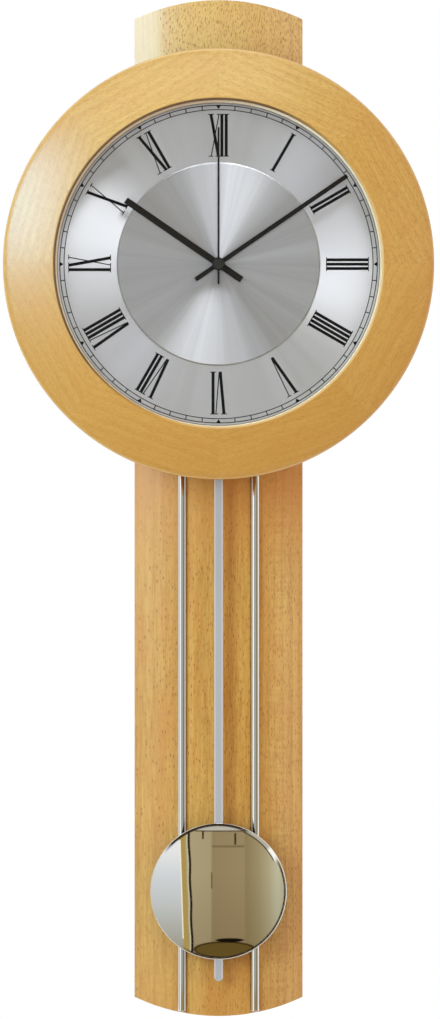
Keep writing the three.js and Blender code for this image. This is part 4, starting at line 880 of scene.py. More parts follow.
board_left, board_right, board_bottom, board_top = box_of("back_board")[:4]
board_crown = box_of("back_board")[5]
board_half = half_width("back_board")
crown_rise = board_crown - BOARD_EDGE
crown_radius = (board_half ** 2 + crown_rise ** 2) / (2 * crown_rise)
crown_centre = board_crown - crown_radius
end_radius = (board_half ** 2 + END_RISE ** 2) / (2 * END_RISE)


def bisected(piece, where, facing):
    """Cuts the piece with a plane, drops the side that the plane faces and closes the cut."""
    with edited(piece):
        bpy.ops.mesh.bisect(plane_co=where, plane_no=facing, use_fill=True, clear_outer=True)


board = upright("board", crown_radius, 0, crown_centre, board_bottom, board_top, FINE_SIDES)
bisected(board, at(0, 0, 0), (0, 1, 0))
bisected(board, at(board_left, 0, 0), (-1, 0, 0))
bisected(board, at(board_right, 0, 0), (1, 0, 0))

low_centre, high_centre = board_bottom + end_radius, board_top - end_radius
trimmer = block("between", board_left * TRIMMER_WIDER, board_right * TRIMMER_WIDER,
                low_centre, high_centre, -PAST, board_crown + PAST)
for name, centre in (("top_drum", high_centre), ("bottom_drum", low_centre)):
    carve(trimmer, drum(name, end_radius, 0, centre, -PAST, board_crown + PAST, FINE_SIDES),
          "UNION")
carve(board, trimmer, "INTERSECT")
print("board blank:", len(board.data.polygons), "faces")

# %% [markdown]
# Then come the grooves for the rods, the window behind the movement, the pockets of the hanger
# plate and of the wall screw's head, and the countersunk holes of the long screws. Every opening is
# a little wider than what goes into it. The last two steps break the sharp edges and weight the
# shading by the size of the faces, so that the big crowned face shades smoothly.

# %% Grooves, window, pockets and holes
ROD_CLEAR, HOLE_CLEAR, PLATE_CLEAR = mm(0.3, 0.3, 0.3)
WINDOW_SIDE, WINDOW_ABOVE, WINDOW_BELOW, WINDOW_CORNER = mm(37, 47, 45, 6)
KEYHOLE_DROP, KEYHOLE_ENTRY, KEYHOLE_SLOT = mm(9, 5, 2.5)
HEAD_POCKET_HALF, HEAD_POCKET_DEPTH = mm(10, 8.5)
LONG_SCREW_RADIUS, LONG_HEAD_RADIUS = mm(2, 4)
BOARD_EASING = 0.5 * MM

rod_x = middle_of("rod_right")[0]
rod_radius = half_width("rod_right")
rod_bottom, rod_top, rod_back, rod_front = box_of("rod_right")[2:]
rod_depth = (rod_back + rod_front) / 2
plate_left, plate_right, plate_bottom, plate_top, plate_back, plate_front = box_of("hanger_plate")


def rounded_block(name, left, right, bottom, top, back, front, corner):
    """A block whose four long edges, seen from the front, are rounded."""
    piece = block(name, left, right, bottom, top, back, front)
    bpy.ops.object.mode_set(mode="EDIT")
    bpy.ops.mesh.select_mode(type="EDGE")
    bpy.ops.mesh.select_all(action="DESELECT")
    bpy.ops.object.mode_set(mode="OBJECT")
    for edge in piece.data.edges:
        ends = [piece.data.vertices[i].co for i in edge.vertices]
        edge.select = abs(ends[0].y - ends[1].y) > (front - back) / 2
    bpy.ops.object.mode_set(mode="EDIT")
    bpy.ops.mesh.bevel(offset=corner, segments=8, offset_type="OFFSET")
    bpy.ops.mesh.select_mode(type="VERT")
    bpy.ops.object.mode_set(mode="OBJECT")
    return piece


def drilled(piece, screw_node, head, shank, back, end, steps):
    """Cuts a screw's hole, with a cone for its head, from the face at back to past the end."""
    head, shank = head + HOLE_CLEAR, shank + HOLE_CLEAR
    carve(piece, turned("hole", [
        (0, back - MM), (head, back - MM), (head, back + HOLE_CLEAR / 2),
        (shank, back + head - shank + HOLE_CLEAR / 2), (shank, end), (0, end),
    ], middle_of(screw_node), steps))


for side in (-1, 1):
    carve(board, upright("groove", rod_radius + ROD_CLEAR, side * rod_x, rod_depth,
                         board_bottom - 2 * PAST, rod_top + ROD_CLEAR))
carve(board, rounded_block("window", -WINDOW_SIDE, WINDOW_SIDE, HEAD_Z - WINDOW_BELOW,
                           HEAD_Z + WINDOW_ABOVE, -PAST, board_crown + PAST, WINDOW_CORNER))
carve(board, block("plate_pocket", plate_left - PLATE_CLEAR, plate_right + PLATE_CLEAR,
                   plate_bottom - PLATE_CLEAR, plate_top + PLATE_CLEAR,
                   -PAST, plate_front + PLATE_CLEAR))
carve(board, block("head_pocket", -HEAD_POCKET_HALF, HEAD_POCKET_HALF,
                   -KEYHOLE_DROP - KEYHOLE_ENTRY, KEYHOLE_ENTRY, -MM, HEAD_POCKET_DEPTH))
for number in range(1, 5):
    drilled(board, "ring_screw_%d" % number, LONG_HEAD_RADIUS, LONG_SCREW_RADIUS,
            0, board_crown + 2 * MM, 32)

eased(board, BOARD_EASING, 2, 32)
finish_with(board, "WEIGHTED_NORMAL", keep_sharp=True)
board.data.materials.append(beech)
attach(board, "clock")
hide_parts("back_board")
print("board:", len(board.data.polygons), "faces after the holes and eased edges")

# %% [markdown]
# ## The turned ring
# The ring is one turned profile. Its face falls away to the outer edge with a slight bulge, the
# outer corner is rounded over, and the inner lip has a small round that catches the light. Behind
# the lip are two steps: one seats the glass, the other the carrier of the dial.

# %% Ring
SIGHT_RADIUS = 111 * MM
FACE_BULGE = 0.6 * MM
FACE_STEPS = 12
RING_STEPS = 288
RING_EASING = 0.9 * MM
SEAT = 0.3 * MM

glass_seat = half_width("glass_pane") + SEAT
carrier_seat = half_width("dial_carrier") + SEAT
carrier_front = box_of("dial_carrier")[5]
lip_back = box_of("glass_pane")[5] + SEAT


def face_corner(share):
    """A point of the ring's face, from the lip (0) to the outer edge (1)."""
    bulge = FACE_BULGE * 4 * share * (1 - share) - FACE_BULGE * 0.2
    return (SIGHT_RADIUS + (RING_RADIUS - EDGE_ROUND - SIGHT_RADIUS) * share,
            ring_front - FACE_DROP * share + bulge)


ring = turned("ring", [
    (SIGHT_RADIUS, lip_back),
    *[face_corner(step / FACE_STEPS) for step in range(FACE_STEPS + 1)],
    (RING_RADIUS, EDGE_DEPTH),
    (RING_RADIUS, ring_back),
    (carrier_seat, ring_back),
    (carrier_seat, carrier_front + SEAT),
    (glass_seat, carrier_front + SEAT),
    (glass_seat, lip_back),
    (SIGHT_RADIUS, lip_back),
], (0, HEAD_Z), RING_STEPS)
eased(ring, RING_EASING, 3, 25)
ring.data.materials.append(ring_beech)
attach(ring, "clock")
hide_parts("bezel_ring")
print("ring:", len(ring.data.polygons), "faces")

# %% [markdown]
# ## Chrome
# Polished plate mirrors its surroundings almost perfectly. Only a trace of waviness and a very
# low roughness keep it from looking like drawn lines. Round rods squeeze the whole room into their
# width, so the dark gap between two lamps shows as one line. The finish of the rods paints that
# line where the surface faces a little to the right.

# %% Chrome, and the two rods
CHROME_TINT = (CHROME_SHARE, CHROME_SHARE, CHROME_SHARE, 1)
DARK_LINE = (0.36, 0.60)
LINE_TINT = (0.26, 0.25, 0.23, 1)
ROD_CHAMFER = 0.6 * MM


def chrome_finish(name, line=None, roughness=0.04, waves=0.06):
    """Polished chrome, with a dark line where the normal's part along X is between two values."""
    material, tree, shader = new_finish(name)
    place = object_place(tree)
    haze = noise(tree, place, 900, 3.0)
    fill(tree, shader, {
        "Base Color": CHROME_TINT, "Metallic": 1.0,
        "Roughness": ranged(tree, haze, 0.3, 0.7, roughness * 0.6, roughness * 1.5),
        "Normal": bumped(tree, noise(tree, place, 60, 1.0), waves, 0.05 * MM),
    })
    if line:
        facing = axes(tree, node(tree, "TexCoord").outputs["Normal"])[0]
        share = between(tree, facing, *line, 0.05)
        fill(tree, shader, {"Base Color": blended(tree, share, CHROME_TINT, LINE_TINT)})
    return material


chrome = chrome_finish("chrome")
rod_chrome = chrome_finish("rod chrome", DARK_LINE)

rods = []
for name, node_name, x in (("rod_l", "rod_left", -rod_x), ("rod_r", "rod_right", rod_x)):
    rod = upright(name, rod_radius, x, rod_depth, rod_bottom, rod_top, 96)
    finish_with(rod, "BEVEL", width=ROD_CHAMFER, segments=3, limit_method="ANGLE",
                angle_limit=math.radians(40))
    smooth(rod, 35)
    rod.data.materials.append(rod_chrome)
    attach(rod, "clock")
    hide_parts(node_name)
    rods.append(rod)
print("rods at x = +/-", round(rod_x, 4))

# %% [markdown]
# ## The dial
# The outer band is brushed along its radii and the raised centre in circles. Brushed metal
# spreads a lamp's reflection across its scratches, so the band and the centre flash in opposite
# pairs of sectors. The shader does this with anisotropy and a tangent worked out from the centre.
# The scratches are noise that changes fast across them and slowly along them. Round the band runs a
# fine line, and outside it a narrow pale margin that is lacquered and not bare metal.

# %% Brushed dial finishes
RADIAL_RATES = (260, 22)
CIRCLE_RATES = (2.2, 3600)
BAND_LINE, MARGIN = mm(109.9, 110.3, 0.1), mm(110.2, 110.4)
LINE_SHADE, MARGIN_SHADE, FAN_SHADE = (122, 106, 90), (250, 236, 218), (150, 150, 150)
DULLER = 0.93


def brushed(name, radial, tint, roughness, anisotropy):
    """Scratches run along the radii, or else in circles, about the dial's centre."""
    material, tree, shader = new_finish(name)
    across, behind, height = axes(tree, object_place(tree))
    from_centre = vector_of(tree, across, 0, minus(tree, height, HEAD_Z))
    out = vector_node(tree, "NORMALIZE", from_centre)
    around = vector_node(tree, "CROSS_PRODUCT", out, (0, 1, 0))
    radius = length_of(tree, from_centre)
    round_rate, out_rate = RADIAL_RATES if radial else CIRCLE_RATES
    lane = vector_of(tree, 0, times(tree, radius, out_rate))
    scratch_at = vector_node(tree, "MULTIPLY_ADD", out, (round_rate,) * 3, lane)
    scratches = noise(tree, scratch_at, 1, 3.0, 0.65)
    rays = noise(tree, out, 6, 4.0, 0.7)
    colour = blended(tree, scratches, (*[part * DULLER for part in tint[:3]], 1), tint)
    metal = 1.0
    if radial:
        margin = ranged(tree, radius, *MARGIN)
        metal = minus(tree, 1, margin)
        colour = painted(tree, colour, (between(tree, radius, *BAND_LINE), LINE_SHADE),
                         (margin, MARGIN_SHADE))
    else:
        fans = noise(tree, out, 3.2, 6.0, 0.75)
        colour = blended(tree, ranged(tree, fans, 0.42, 0.62, 0.22, 0), colour, FAN_SHADE)
    unevenness = times_plus(tree, scratches, 0.35, rays)
    fill(tree, shader, {
        "Base Color": colour, "Metallic": metal, "Anisotropic": anisotropy,
        "Roughness": ranged(tree, unevenness, 0.45, 0.9, roughness - 0.09, roughness + 0.07),
        "Normal": bumped(tree, scratches, 0.05, 0.01 * MM),
        "Tangent": around if radial else out,
    })
    return material


def dress(node_name, material):
    """Gives a solid of the frame its finish."""
    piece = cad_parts[node_name]
    piece.data.materials.clear()
    piece.data.materials.append(material)


dial_band = brushed("dial band", True, (0.86, 0.88, 0.91, 1), 0.48, 0.9)
dial_middle = brushed("dial middle", False, (0.75, 0.77, 0.80, 1), 0.46, 0.92)
dress("dial_plate", dial_band)
print("brushed finishes:", dial_band.name, "and", dial_middle.name)

# %% [markdown]
# The raised centre is a pressed sheet: flat on top, with a bevelled edge that comes down to the
# dial. It is turned as a hollow profile, as thick as the sheet, with a hole for the hands' tubes.

# %% Raised centre disc
DISC_SHEET = 0.8 * MM
DISC_BEVEL = 1.1 * MM
DISC_HOLE = 3.1 * MM

disc_radius = half_width("dial_centre")
disc_back, disc_front = box_of("dial_centre")[4:]
under = disc_front - DISC_SHEET
centre_disc = turned("centre_disc", [
    (DISC_HOLE, under),
    (DISC_HOLE, disc_front),
    (disc_radius - DISC_BEVEL, disc_front),
    (disc_radius - 0.2 * MM, disc_back + 0.3 * MM),
    (disc_radius, disc_back),
    (disc_radius - DISC_SHEET, disc_back),
    (disc_radius - DISC_BEVEL - DISC_SHEET / 2, under),
    (DISC_HOLE, under),
], (0, HEAD_Z), 240)
smooth(centre_disc, 20)
centre_disc.data.materials.append(dial_middle)
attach(centre_disc, "clock")
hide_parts("dial_centre")
print("centre disc:", len(centre_disc.data.polygons), "faces")

# %% [markdown]
# ## Numerals and minute track
# The hour figures are Roman, set round the dial with their feet to the centre. Each is put
# together from three letters that are modelled once: strokes that are thick or thin, closed by
# hairlines. They are printed, so they stand only a few hundredths of a millimetre proud.

# %% Letters
INK_BACK = box_of("dial_plate")[5]
INK_FRONT = INK_BACK + 0.06 * MM
FIGURE_INNER, FIGURE_OUTER = mm(73.4, 102.6)
THICK, THIN, HAIRLINE = mm(2.05, 0.68, 0.6)
OVERHANG, LETTER_GAP, SPREAD = mm(0.9, 0.9, 5.6)

# how far the feet of the thick and the thin stroke are moved, for a cleaner crossing
V_FEET, X_FEET = mm(-0.2, 0.5), mm(-0.4, 0.2)


def stroke(bottom_x, top_x, width):
    """A stroke of a letter: a thin block whose top end is slid sideways."""
    piece = block("stroke", bottom_x - width / 2, bottom_x + width / 2,
                  FIGURE_INNER, FIGURE_OUTER, INK_BACK, INK_FRONT)
    with edited(piece, lambda place: place.z > (FIGURE_INNER + FIGURE_OUTER) / 2):
        bpy.ops.transform.translate(value=(top_x - bottom_x, 0, 0))
    return piece


def hairline(left, right, outer):
    z = FIGURE_OUTER - HAIRLINE if outer else FIGURE_INNER
    return block("hairline", left, right, z, z + HAIRLINE, INK_BACK, INK_FRONT)


def letter(sign, x):
    """The strokes of one letter whose left side is at x, and the letter's width."""
    left, right = x + THICK / 2, x + THICK / 2 + SPREAD
    if sign == "I":
        ends = x - OVERHANG, x + THICK + OVERHANG
        return [stroke(left, left, THICK), hairline(*ends, True), hairline(*ends, False)], THICK
    if sign == "V":
        foot = (left + right) / 2
        parts = [stroke(foot + V_FEET[0], left, THICK), stroke(foot + V_FEET[1], right, THIN)]
    else:
        foot = right + X_FEET[0]
        parts = [stroke(foot, left, THICK), stroke(left + X_FEET[1], right, THIN),
                 hairline(left - OVERHANG - THIN, left + OVERHANG + THIN, False),
                 hairline(foot - THICK, foot + THICK, False)]
    parts.append(hairline(left - THICK, left + THICK, True))
    parts.append(hairline(right - OVERHANG - THIN, right + OVERHANG + THIN, True))
    return parts, SPREAD + THICK / 2


def set_round(piece, turns):
    """Turns a piece clockwise about the origin, then moves it up to the dial's centre."""
    piece.rotation_euler.y = FULL_TURN * turns
    settle(piece)
    piece.location.z = HEAD_Z
    return settle(piece)


print("letters", round((FIGURE_OUTER - FIGURE_INNER) / MM, 1), "mm tall")

# %% [markdown]
# A figure is a row of letters. Its strokes are joined into one closed print, the row is centred
# above the origin, and then it is turned to its hour and moved up to the dial.

# %% Hour figures
FIGURES = ("I", "II", "III", "IIII", "V", "VI", "VII", "VIII", "IX", "X", "XI", "XII")


def joined(name, pieces):
    pick(*pieces)
    bpy.ops.object.join()
    return named(name)


def figure(signs, hour):
    parts, x = [], 0.0
    for sign in signs:
        strokes, width = letter(sign, x)
        parts += strokes
        x += width + LETTER_GAP
    piece = joined("figure_%d" % hour, parts)
    with edited(piece):
        bpy.ops.mesh.intersect_boolean(operation="UNION", use_self=True, solver="EXACT")
    piece.location.x = -(x - LETTER_GAP) / 2
    return set_round(settle(piece), hour / 12)


figures = [figure(signs, hour) for hour, signs in enumerate(FIGURES, 1)]
print("hour figures:", len(figures))

# %% [markdown]
# The minute track is two fine circles with a tick for each minute between them. Each fifth minute
# has a small wedge instead, which points to the centre. All the print is one piece of ink.

# %% Minute track
TRACK_INNER, TRACK_OUTER, TRACK_LINE = mm(105.5, 108.4, 0.58)
TICK, WEDGE_HALF, WEDGE_DEPTH = mm(0.65, 1.7, 2.5)


def circle_line(name, radius):
    inner, outer = radius - TRACK_LINE / 2, radius + TRACK_LINE / 2
    corners = [(inner, INK_BACK), (outer, INK_BACK), (outer, INK_FRONT), (inner, INK_FRONT),
               (inner, INK_BACK)]
    return turned(name, corners, (0, HEAD_Z), 240)


def wedge():
    """A three-sided bar seen end on, sized and slid so that its flat side is on the outer line."""
    piece = started("wedge", bpy.ops.mesh.primitive_cylinder_add, vertices=3, radius=1, depth=1)
    piece.rotation_euler = (QUARTER_TURN, 0, 0)
    corners = [v.co for v in settle(piece).data.vertices]
    low, high = min(c.z for c in corners), max(c.z for c in corners)
    up = 1 if abs(low) > abs(high) else -1
    piece.scale = (WEDGE_HALF / max(c.x for c in corners), INK_FRONT - INK_BACK,
                   up * WEDGE_DEPTH / (high - low))
    top = max(v.co.z for v in settle(piece).data.vertices)
    piece.location = at(0, (INK_BACK + INK_FRONT) / 2, TRACK_OUTER - top)
    return settle(piece)


track = [circle_line("track_line", radius) for radius in (TRACK_INNER, TRACK_OUTER)]
for minute in range(60):
    mark = wedge() if minute % 5 == 0 else block(
        "tick", -TICK / 2, TICK / 2, TRACK_INNER, TRACK_OUTER, INK_BACK, INK_FRONT)
    track.append(set_round(mark, minute / 60))

ink, tree, shader = new_finish("printing ink")
speckle = noise(tree, object_place(tree), 2500)
fill(tree, shader, {"Base Color": linear(12, 11, 11), "Specular IOR Level": 0.08,
                    "Roughness": ranged(tree, speckle, 0.3, 0.7, 0.6, 0.8)})

printing = joined("printing", figures + track)
with edited(printing):
    bpy.ops.mesh.normals_make_consistent(inside=False)
printing.data.materials.append(ink)
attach(printing, "clock")
print("printing:", len(printing.data.polygons), "faces")

# %% [markdown]
# ## The hands
# The hands are flat batons stamped from sheet, lacquered black. Their edges are slightly broken,
# and the finish paints the turned edges darker than the flat face, as painted shade, which draws
# a fine line along each side. It looks which way the surface faces to tell the two apart, and the
# cap is a touch greyer.
# Each hand has a boss with a bore for its tube. The second hand's bore is blind, so no hole shows.

# %% Hands
HAND_THICK, HAND_EASING = mm(0.8, 0.35)
BOSS_RADIUS, BOSS_PROUD, CAP_RADIUS = mm(4.4, 0.6, 3.7)

# solid: body, angle in degrees, then length, width, tail, radius of the bore, rounding of the boss
HANDS = {
    "hour_hand": ("hours", 304.5, mm(76.8, 4.5, 19, 2.8, 0.25)),
    "minute_hand": ("minutes", 55.6, mm(106.3, 3.0, 19, 1.9, 0.25)),
    "second_hand": ("seconds", 0.0, mm(93.0, 1.3, 14, 0.75, 0.6)),
}

lacquer, tree, shader = new_finish("hand lacquer")
place = object_place(tree)
peel = noise(tree, place, 1500)
facing = axes(tree, node(tree, "NewGeometry").outputs["True Normal"])[1]
from_hub = vector_node(tree, "MULTIPLY", vector_node(tree, "SUBTRACT", place, (0, 0, HEAD_Z)),
                       (1, 0, 1))
cap = ranged(tree, length_of(tree, from_hub), CAP_RADIUS, CAP_RADIUS - 0.2 * MM)
# painted shade: the turned edges, which do not face the front, are painted darker
flat_on = ranged(tree, math_node(tree, "ABSOLUTE", facing), 0.8, 0.98)
face_shade = blended(tree, cap, (27, 23, 20), (46, 45, 43))
fill(tree, shader, {
    "Base Color": blended(tree, flat_on, (6, 5, 5), face_shade), "Specular IOR Level": 0.12,
    "Roughness": ranged(tree, peel, 0.3, 0.7, 0.34, 0.44),
    "Normal": bumped(tree, peel, 0.1, 0.02 * MM),
})

hands = []
for name, (body, angle, sizes) in HANDS.items():
    length, width, tail, bore, rounding = sizes
    back, front = box_of(name)[4:]
    blade_back = back + BOSS_PROUD
    hand = block(name + "_baton", -width / 2, width / 2, -tail, length,
                 blade_back, blade_back + HAND_THICK)
    eased(hand, min(HAND_EASING, width * 0.2), 1, 40)
    hand.rotation_euler.y = math.radians(angle)
    settle(hand)
    boss = drum("boss", BOSS_RADIUS, 0, 0, back, front)
    carve(hand, eased(boss, rounding, 3, 40), "UNION")
    bore_end = front - HAND_THICK if name == "second_hand" else front + MM
    carve(hand, drum("bore", bore, 0, 0, back - MM, bore_end, 48))
    hand.location.z = HEAD_Z
    settle(hand)
    smooth(hand, 30)
    hand.data.materials.clear()
    hand.data.materials.append(lacquer)
    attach(hand, body)
    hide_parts(name)
    hands.append(hand)
print("hands at", [angle for body, angle, sizes in HANDS.values()], "degrees")

# %% [markdown]
# ## The pendulum
# The bar is a flat strip with round ends, brushed along its length. An eye at its top hangs on the
# pin. Its eased edges catch more light, so the finish is paler there.

# %% Bar
BAR_EYE, BAR_EASING = mm(1.6, 0.45)
BAR_DARK, BAR_LIGHT = (0.65, 0.695, 0.71, 1), (0.75, 0.79, 0.80, 1)
BAR_EDGE, EDGE_FROM, EDGE_TO = (0.96, 0.91, 0.87, 1), 0.62, 0.76

bar_half = half_width("pendulum_bar")
bar_bottom, bar_top, bar_back, bar_front = box_of("pendulum_bar")[2:]
hook_z = bar_top - bar_half

bar_metal, tree, shader = new_finish("bar metal")
place = object_place(tree)
lines = noise(tree, place, (4500, 30), 3.0, 0.6)
to_edge = math_node(tree, "ABSOLUTE", axes(tree, place)[0])
near_edge = ranged(tree, to_edge, EDGE_FROM * bar_half, EDGE_TO * bar_half)
fill(tree, shader, {
    "Base Color": blended(tree, near_edge, blended(tree, lines, BAR_DARK, BAR_LIGHT), BAR_EDGE),
    "Roughness": ranged(tree, lines, 0.25, 0.75, 0.3, 0.42), "Metallic": 1.0,
    "Normal": bumped(tree, lines, 0.08, 0.01 * MM),
})

bar = block("bar", -bar_half, bar_half, bar_bottom + bar_half, hook_z, bar_back, bar_front)
for end_z in (hook_z, bar_bottom + bar_half):
    carve(bar, drum("bar_end", bar_half, 0, end_z, bar_back, bar_front, 48), "UNION")
carve(bar, drum("bar_eye", BAR_EYE, 0, hook_z, bar_back - MM, bar_front + MM, 32))
eased(bar, BAR_EASING, 2, 40)
bar.data.materials.append(bar_metal)
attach(bar, "pendulum")
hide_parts("pendulum_bar")
print("bar:", len(bar.data.polygons), "faces")

# %% [markdown]
# The bob is a shallow dome pressed from sheet, with a thin rolled rim, and polished so brightly
# that it shows the whole room. Outside and inside are two arcs of a circle, one wall apart.

# %% Bob
BOB_WALL = 0.8 * MM
BOB_STEPS = 28
dome_base = bob_base + BOB_RIM


def dome(radius, rise):
    """Points of a shallow dome, from its edge to its crown."""
    sphere = (radius ** 2 + rise ** 2) / (2 * rise)
    spread = math.asin(radius / sphere)
    angles = [spread * (1 - step / BOB_STEPS) for step in range(BOB_STEPS + 1)]
    return [(sphere * math.sin(angle), dome_base + rise - sphere + sphere * math.cos(angle))
            for angle in angles]


def rim_corner(angle):
    """A point of the rolled rim, from its side (0) towards its front."""
    return (bob_radius - RIM_ROUND * (1 - math.cos(angle)),
            dome_base - RIM_ROUND + RIM_ROUND * math.sin(angle))


bob = turned("bob", [
    (bob_radius - BOB_WALL, bob_base),
    (bob_radius, bob_base),
    *[rim_corner(step * math.pi / 8) for step in range(4)],
    (dome_radius + 0.02 * MM, dome_base + 0.01 * MM),
    *dome(dome_radius, dome_rise),
    *reversed(dome(dome_radius - BOB_WALL, dome_rise - BOB_WALL)),
    (bob_radius - BOB_WALL, dome_base - RIM_ROUND),
    (bob_radius - BOB_WALL, bob_base),
], (0, bob_z), 192)
smooth(bob, 25)
bob.data.materials.append(chrome)
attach(bob, "pendulum")
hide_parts("bob_shell")
print("bob:", len(bob.data.polygons), "faces")

# %% [markdown]
# ## Behind the clock
# The steel plate at the top of the board's back hangs on one wall screw. Its hole is a wide entry
# with a narrow slot above it. Two small countersunk screws hold it.

# %% Hanger plate
PLATE_CORNER = 2 * MM
PLATE_EDGE = 0.25 * MM

hanger = rounded_block("hanger", plate_left, plate_right, plate_bottom, plate_top,
                       plate_back, plate_front, PLATE_CORNER)
carve(hanger, drum("entry", KEYHOLE_ENTRY, 0, -KEYHOLE_DROP, plate_back - MM, plate_front + MM,
                   96))
carve(hanger, rounded_block("slot", -KEYHOLE_SLOT, KEYHOLE_SLOT, -KEYHOLE_DROP - MM, KEYHOLE_SLOT,
                            plate_back - MM, plate_front + MM, KEYHOLE_SLOT * 0.98))
for node_name in ("hanger_screw_1", "hanger_screw_2"):
    head = half_width(node_name)
    drilled(hanger, node_name, head, head / 2, plate_back, plate_front + MM, 48)
eased(hanger, PLATE_EDGE, 2, 40)
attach(hanger, "clock")
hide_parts("hanger_plate")
print("hanger plate:", len(hanger.data.polygons), "faces")

# %% [markdown]
# All the screws have a cross recess. One screw of each kind is turned and given its cross, and the
# others are copies moved to their places, each turned a little further, as a hand leaves them.

# %% Screws
CROSS_WIDTH, CROSS_DEPTH = mm(0.9, 1.3)
CROSS_TAPER = 0.45
PAN_HEAD, SMALL_SHANK = mm(1.6, 1.5)
NEXT_TURN = 0.7


def copied(piece, name):
    """A copy with its own mesh."""
    twin = piece.copy()
    twin.data = piece.data.copy()
    twin.name = name
    bpy.context.scene.collection.objects.link(twin)
    return twin


def screw(name, corners, reach):
    """A turned screw at the origin, its head at depth 0, with a tapered cross cut in its head."""
    piece = turned(name, corners, (0, 0), 48)
    for across, up in ((reach, CROSS_WIDTH / 2), (CROSS_WIDTH / 2, reach)):
        arm = block("arm", -across, across, -up, up, -MM, CROSS_DEPTH)
        with edited(arm, lambda place: place.y < -CROSS_DEPTH / 2):
            bpy.ops.transform.resize(value=(CROSS_TAPER, 1, CROSS_TAPER),
                                     center_override=(0, 0, 0))
        carve(piece, arm)
    return smooth(piece, 25)


def countersunk(name, head, shank, length):
    return screw(name, [
        (0, 0), (head - 0.1 * MM, 0), (head, 0.1 * MM), (shank, head - shank),
        (shank, length - shank), (0, length),
    ], head * 0.62)


def pan_headed(name, head, shank, length):
    return screw(name, [
        (0, 0), (head - 1.6 * MM, 0), (head - 0.9 * MM, 0.12 * MM), (head - 0.35 * MM, 0.4 * MM),
        (head, PAN_HEAD * 0.62), (head, PAN_HEAD), (shank, PAN_HEAD),
        (shank, length - shank), (0, length),
    ], head * 0.58)


SCREWS = {
    "hanger_screw": (countersunk, 2, SMALL_SHANK),
    "ring_screw": (countersunk, 4, LONG_SCREW_RADIUS),
    "carrier_screw": (pan_headed, 4, SMALL_SHANK),
}
screws = []
for kind, (make, count, shank) in SCREWS.items():
    back, front = box_of(kind + "_1")[4:]
    master = make(kind, half_width(kind + "_1"), shank, front - back)
    for number in range(1, count + 1):
        node_name = "%s_%d" % (kind, number)
        x, z = middle_of(node_name)
        piece = copied(master, "cross_" + node_name)
        piece.location = at(x, box_of(node_name)[4], z)
        piece.rotation_euler.y = NEXT_TURN * number
        settle(piece)
        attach(piece, "clock")
        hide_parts(node_name)
        screws.append(piece)
    bpy.data.objects.remove(master)
print("screws:", len(screws))

# %% [markdown]
# ## Glass
# The pane in front of the dial is thin flat glass. What the eye notices is the dial behind it and a
# faint mirror that grows at a slant, so the shader mixes clear and mirror by the Fresnel law. The
# pane is coated against glare, so it mirrors less than half of what bare glass would, and only its
# outer side mirrors.

# %% Glass finish
COATED_SHARE = 0.4
GLASS_TINT = (0.985, 0.99, 0.992, 1)

glass = bpy.data.materials.new("clear glass")
tree = bare_tree(glass)
outer_side = minus(tree, 1, node(tree, "NewGeometry").outputs["Backfacing"])
fresnel = node(tree, "Fresnel", {"IOR": 1.45}).outputs[0]
mirror_share = times(tree, fresnel, outer_side, COATED_SHARE)
clear = node(tree, "BsdfTransparent", {"Color": GLASS_TINT})
mirror = node(tree, "BsdfGlossy", {"Color": WHITE, "Roughness": 0.0})
mixed = node(tree, "MixShader", {0: mirror_share, 1: clear.outputs[0], 2: mirror.outputs[0]})
node(tree, "OutputMaterial", {"Surface": mixed.outputs[0]})
dress("glass_pane", glass)
print("glass mirrors", COATED_SHARE, "of what bare glass does")

# %% [markdown]
# ## Plain finishes for the rest
# The movement, its wheels, the screws and the battery are mostly out of sight, but each still gets
# a finish with a little grain, unevenness or sheen of its own.

# %% Plain finishes
def plain(name, tint, roughness, metal=0.0, grain=400, unevenness=0.06, depth=0.03):
    """A moulded, rolled or cast surface: one colour, broken up by fine unevenness."""
    material, tree, shader = new_finish(name)
    spots = noise(tree, object_place(tree), grain, 3.0)
    darker = tuple(part * (1 - 2 * unevenness) for part in tint)
    fill(tree, shader, {
        "Base Color": blended(tree, spots, (*darker, 1), (*tint, 1)), "Metallic": metal,
        "Roughness": ranged(tree, spots, 0.3, 0.7, roughness - 0.05, roughness + 0.05),
        "Normal": bumped(tree, spots, 0.2, depth * MM),
    })
    return material


steel = plain("zinc steel", (0.62, 0.63, 0.65), 0.34, 1.0, 700)
WEARERS = (
    (beech, "spacer_batten_left spacer_batten_right"),
    (steel, "seconds_stator minutes_stator battery_contact_negative battery_contact_positive "
            "bob_clip"),
    (plain("brass", (0.80, 0.60, 0.28), 0.28, 1.0, 700), "movement_nut pendulum_pin"),
    (plain("case plastic", (0.028, 0.028, 0.031), 0.5, 0.0, 2600, 0.1, 0.06),
     "movement_case_back movement_case_front bob_back"),
    (plain("wheel plastic", (0.82, 0.80, 0.72), 0.42, 0.0, 500),
     "seconds_idler seconds_wheel centre_wheel minutes_idler motion_wheel hour_wheel "
     "pendulum_lever"),
    (plain("rubber", (0.02, 0.02, 0.02), 0.75, 0.0, 1500), "movement_washer"),
    (plain("hardboard", (0.16, 0.085, 0.04), 0.75, 0.0, 1100, 0.2, 0.1), "dial_carrier"),
    (plain("copper winding", (0.60, 0.24, 0.10), 0.35, 1.0, 2500, 0.1),
     "aerial_coil seconds_coil minutes_coil pendulum_coil"),
    (plain("ferrite", (0.035, 0.034, 0.034), 0.6, 0.0, 1400),
     "aerial_core seconds_rotor minutes_rotor pendulum_magnet"),
    (plain("circuit board", (0.02, 0.13, 0.05), 0.4, 0.0, 900), "circuit_board"),
    (plain("button plastic", (0.66, 0.65, 0.60), 0.45, 0.0, 800), "set_button search_button"),
    (plain("spacer lacquer", (0.86, 0.80, 0.72), 0.55, 0.0, 500), "spacer_ring"),
)
for material, names in WEARERS:
    for node_name in names.split():
        dress(node_name, material)
for piece in (hanger, *screws):
    piece.data.materials.append(steel)
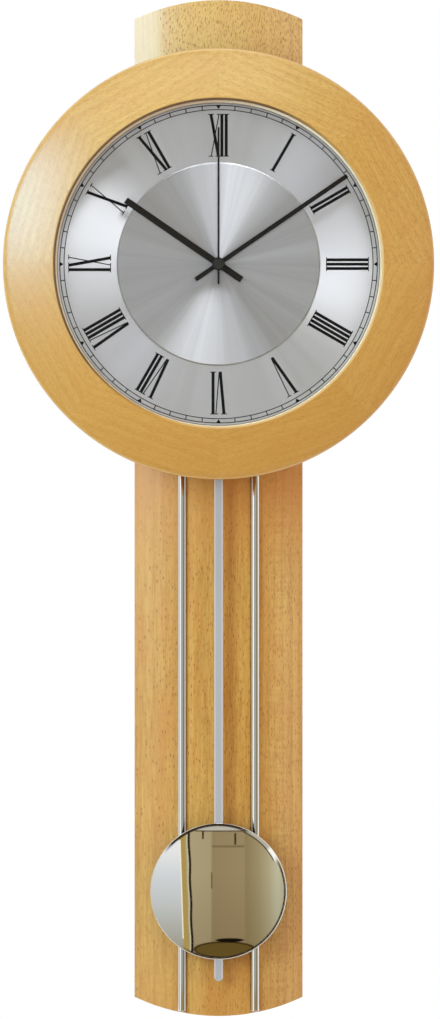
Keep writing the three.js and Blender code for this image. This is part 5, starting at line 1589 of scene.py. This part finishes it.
print("plain finishes:", len(WEARERS))

# %% [markdown]
# The cell wears a dark sleeve with a copper band round its plus end, and its two ends are bare
# steel. One finish does it all: it looks how far along the cell a point lies.

# %% Cell finish
END_BARE = 1.6 * MM
BAND = 13 * MM
STEP_SOFT = 0.1 * MM

cell_left, cell_right = box_of("battery_cell")[:2]
sleeve, tree, shader = new_finish("cell sleeve")
place = object_place(tree)
along = axes(tree, place)[0]
haze = noise(tree, place, 500, 3.0)
band = ranged(tree, along, cell_right - BAND - STEP_SOFT, cell_right - BAND)
plus_end = ranged(tree, along, cell_right - END_BARE - STEP_SOFT, cell_right - END_BARE)
minus_end = ranged(tree, along, cell_left + END_BARE, cell_left + END_BARE - STEP_SOFT)
bare = math_node(tree, "MAXIMUM", plus_end, minus_end)
colour = painted(tree, blended(tree, haze, (34, 36, 40), (42, 44, 49)),
                 (band, (196, 132, 84)), (bare, (198, 199, 202)))
metal = ranged(tree, math_node(tree, "MAXIMUM", band, bare), 0, 1, 0.15, 1)
fill(tree, shader, {"Base Color": colour, "Metallic": metal,
                    "Roughness": ranged(tree, haze, 0.3, 0.7, 0.24, 0.36)})
dress("battery_cell", sleeve)
print("cell sleeve: band", round(BAND / MM, 1), "mm wide")

# %% [markdown]
# Each shine lamp is linked to what it should shine on. Two sheens reach the wood alone, one the
# ring alone and two lamps the rods alone. The flashes and the front lamp reach all but the wood,
# the bob, the print, the hands and the rods: on those they would show as hard white shapes. The
# side light leaves out the raised disc as well.

# %% Lamps linked to what they shine on
NOT_SHINY = (board, ring, bob, printing, *hands, *rods)
LINKS = (
    ("wood_shine", "INCLUDE", (board, ring), ("lacquer_sheen", "lacquer_sheen_above")),
    ("ring_shine", "INCLUDE", (ring,), ("ring_edge_sheen",)),
    ("rod_shine", "INCLUDE", rods, ("rod_front", "rod_stripe")),
    ("metal_shine", "EXCLUDE", NOT_SHINY, ("dial_flash", "dial_second_flash", "metal_front")),
    ("band_shine", "EXCLUDE", (*NOT_SHINY, centre_disc), ("dial_side_light",)),
)
for name, state, pieces, lights in LINKS:
    group = bpy.data.collections.new(name)
    for piece in pieces:
        group.objects.link(piece)
    for member in group.collection_objects:
        member.light_linking.link_state = state
    for light in lights:
        shine_lamps[light].light_linking.receiver_collection = group
print("linked lamps:", [light for link in LINKS for light in link[3]])
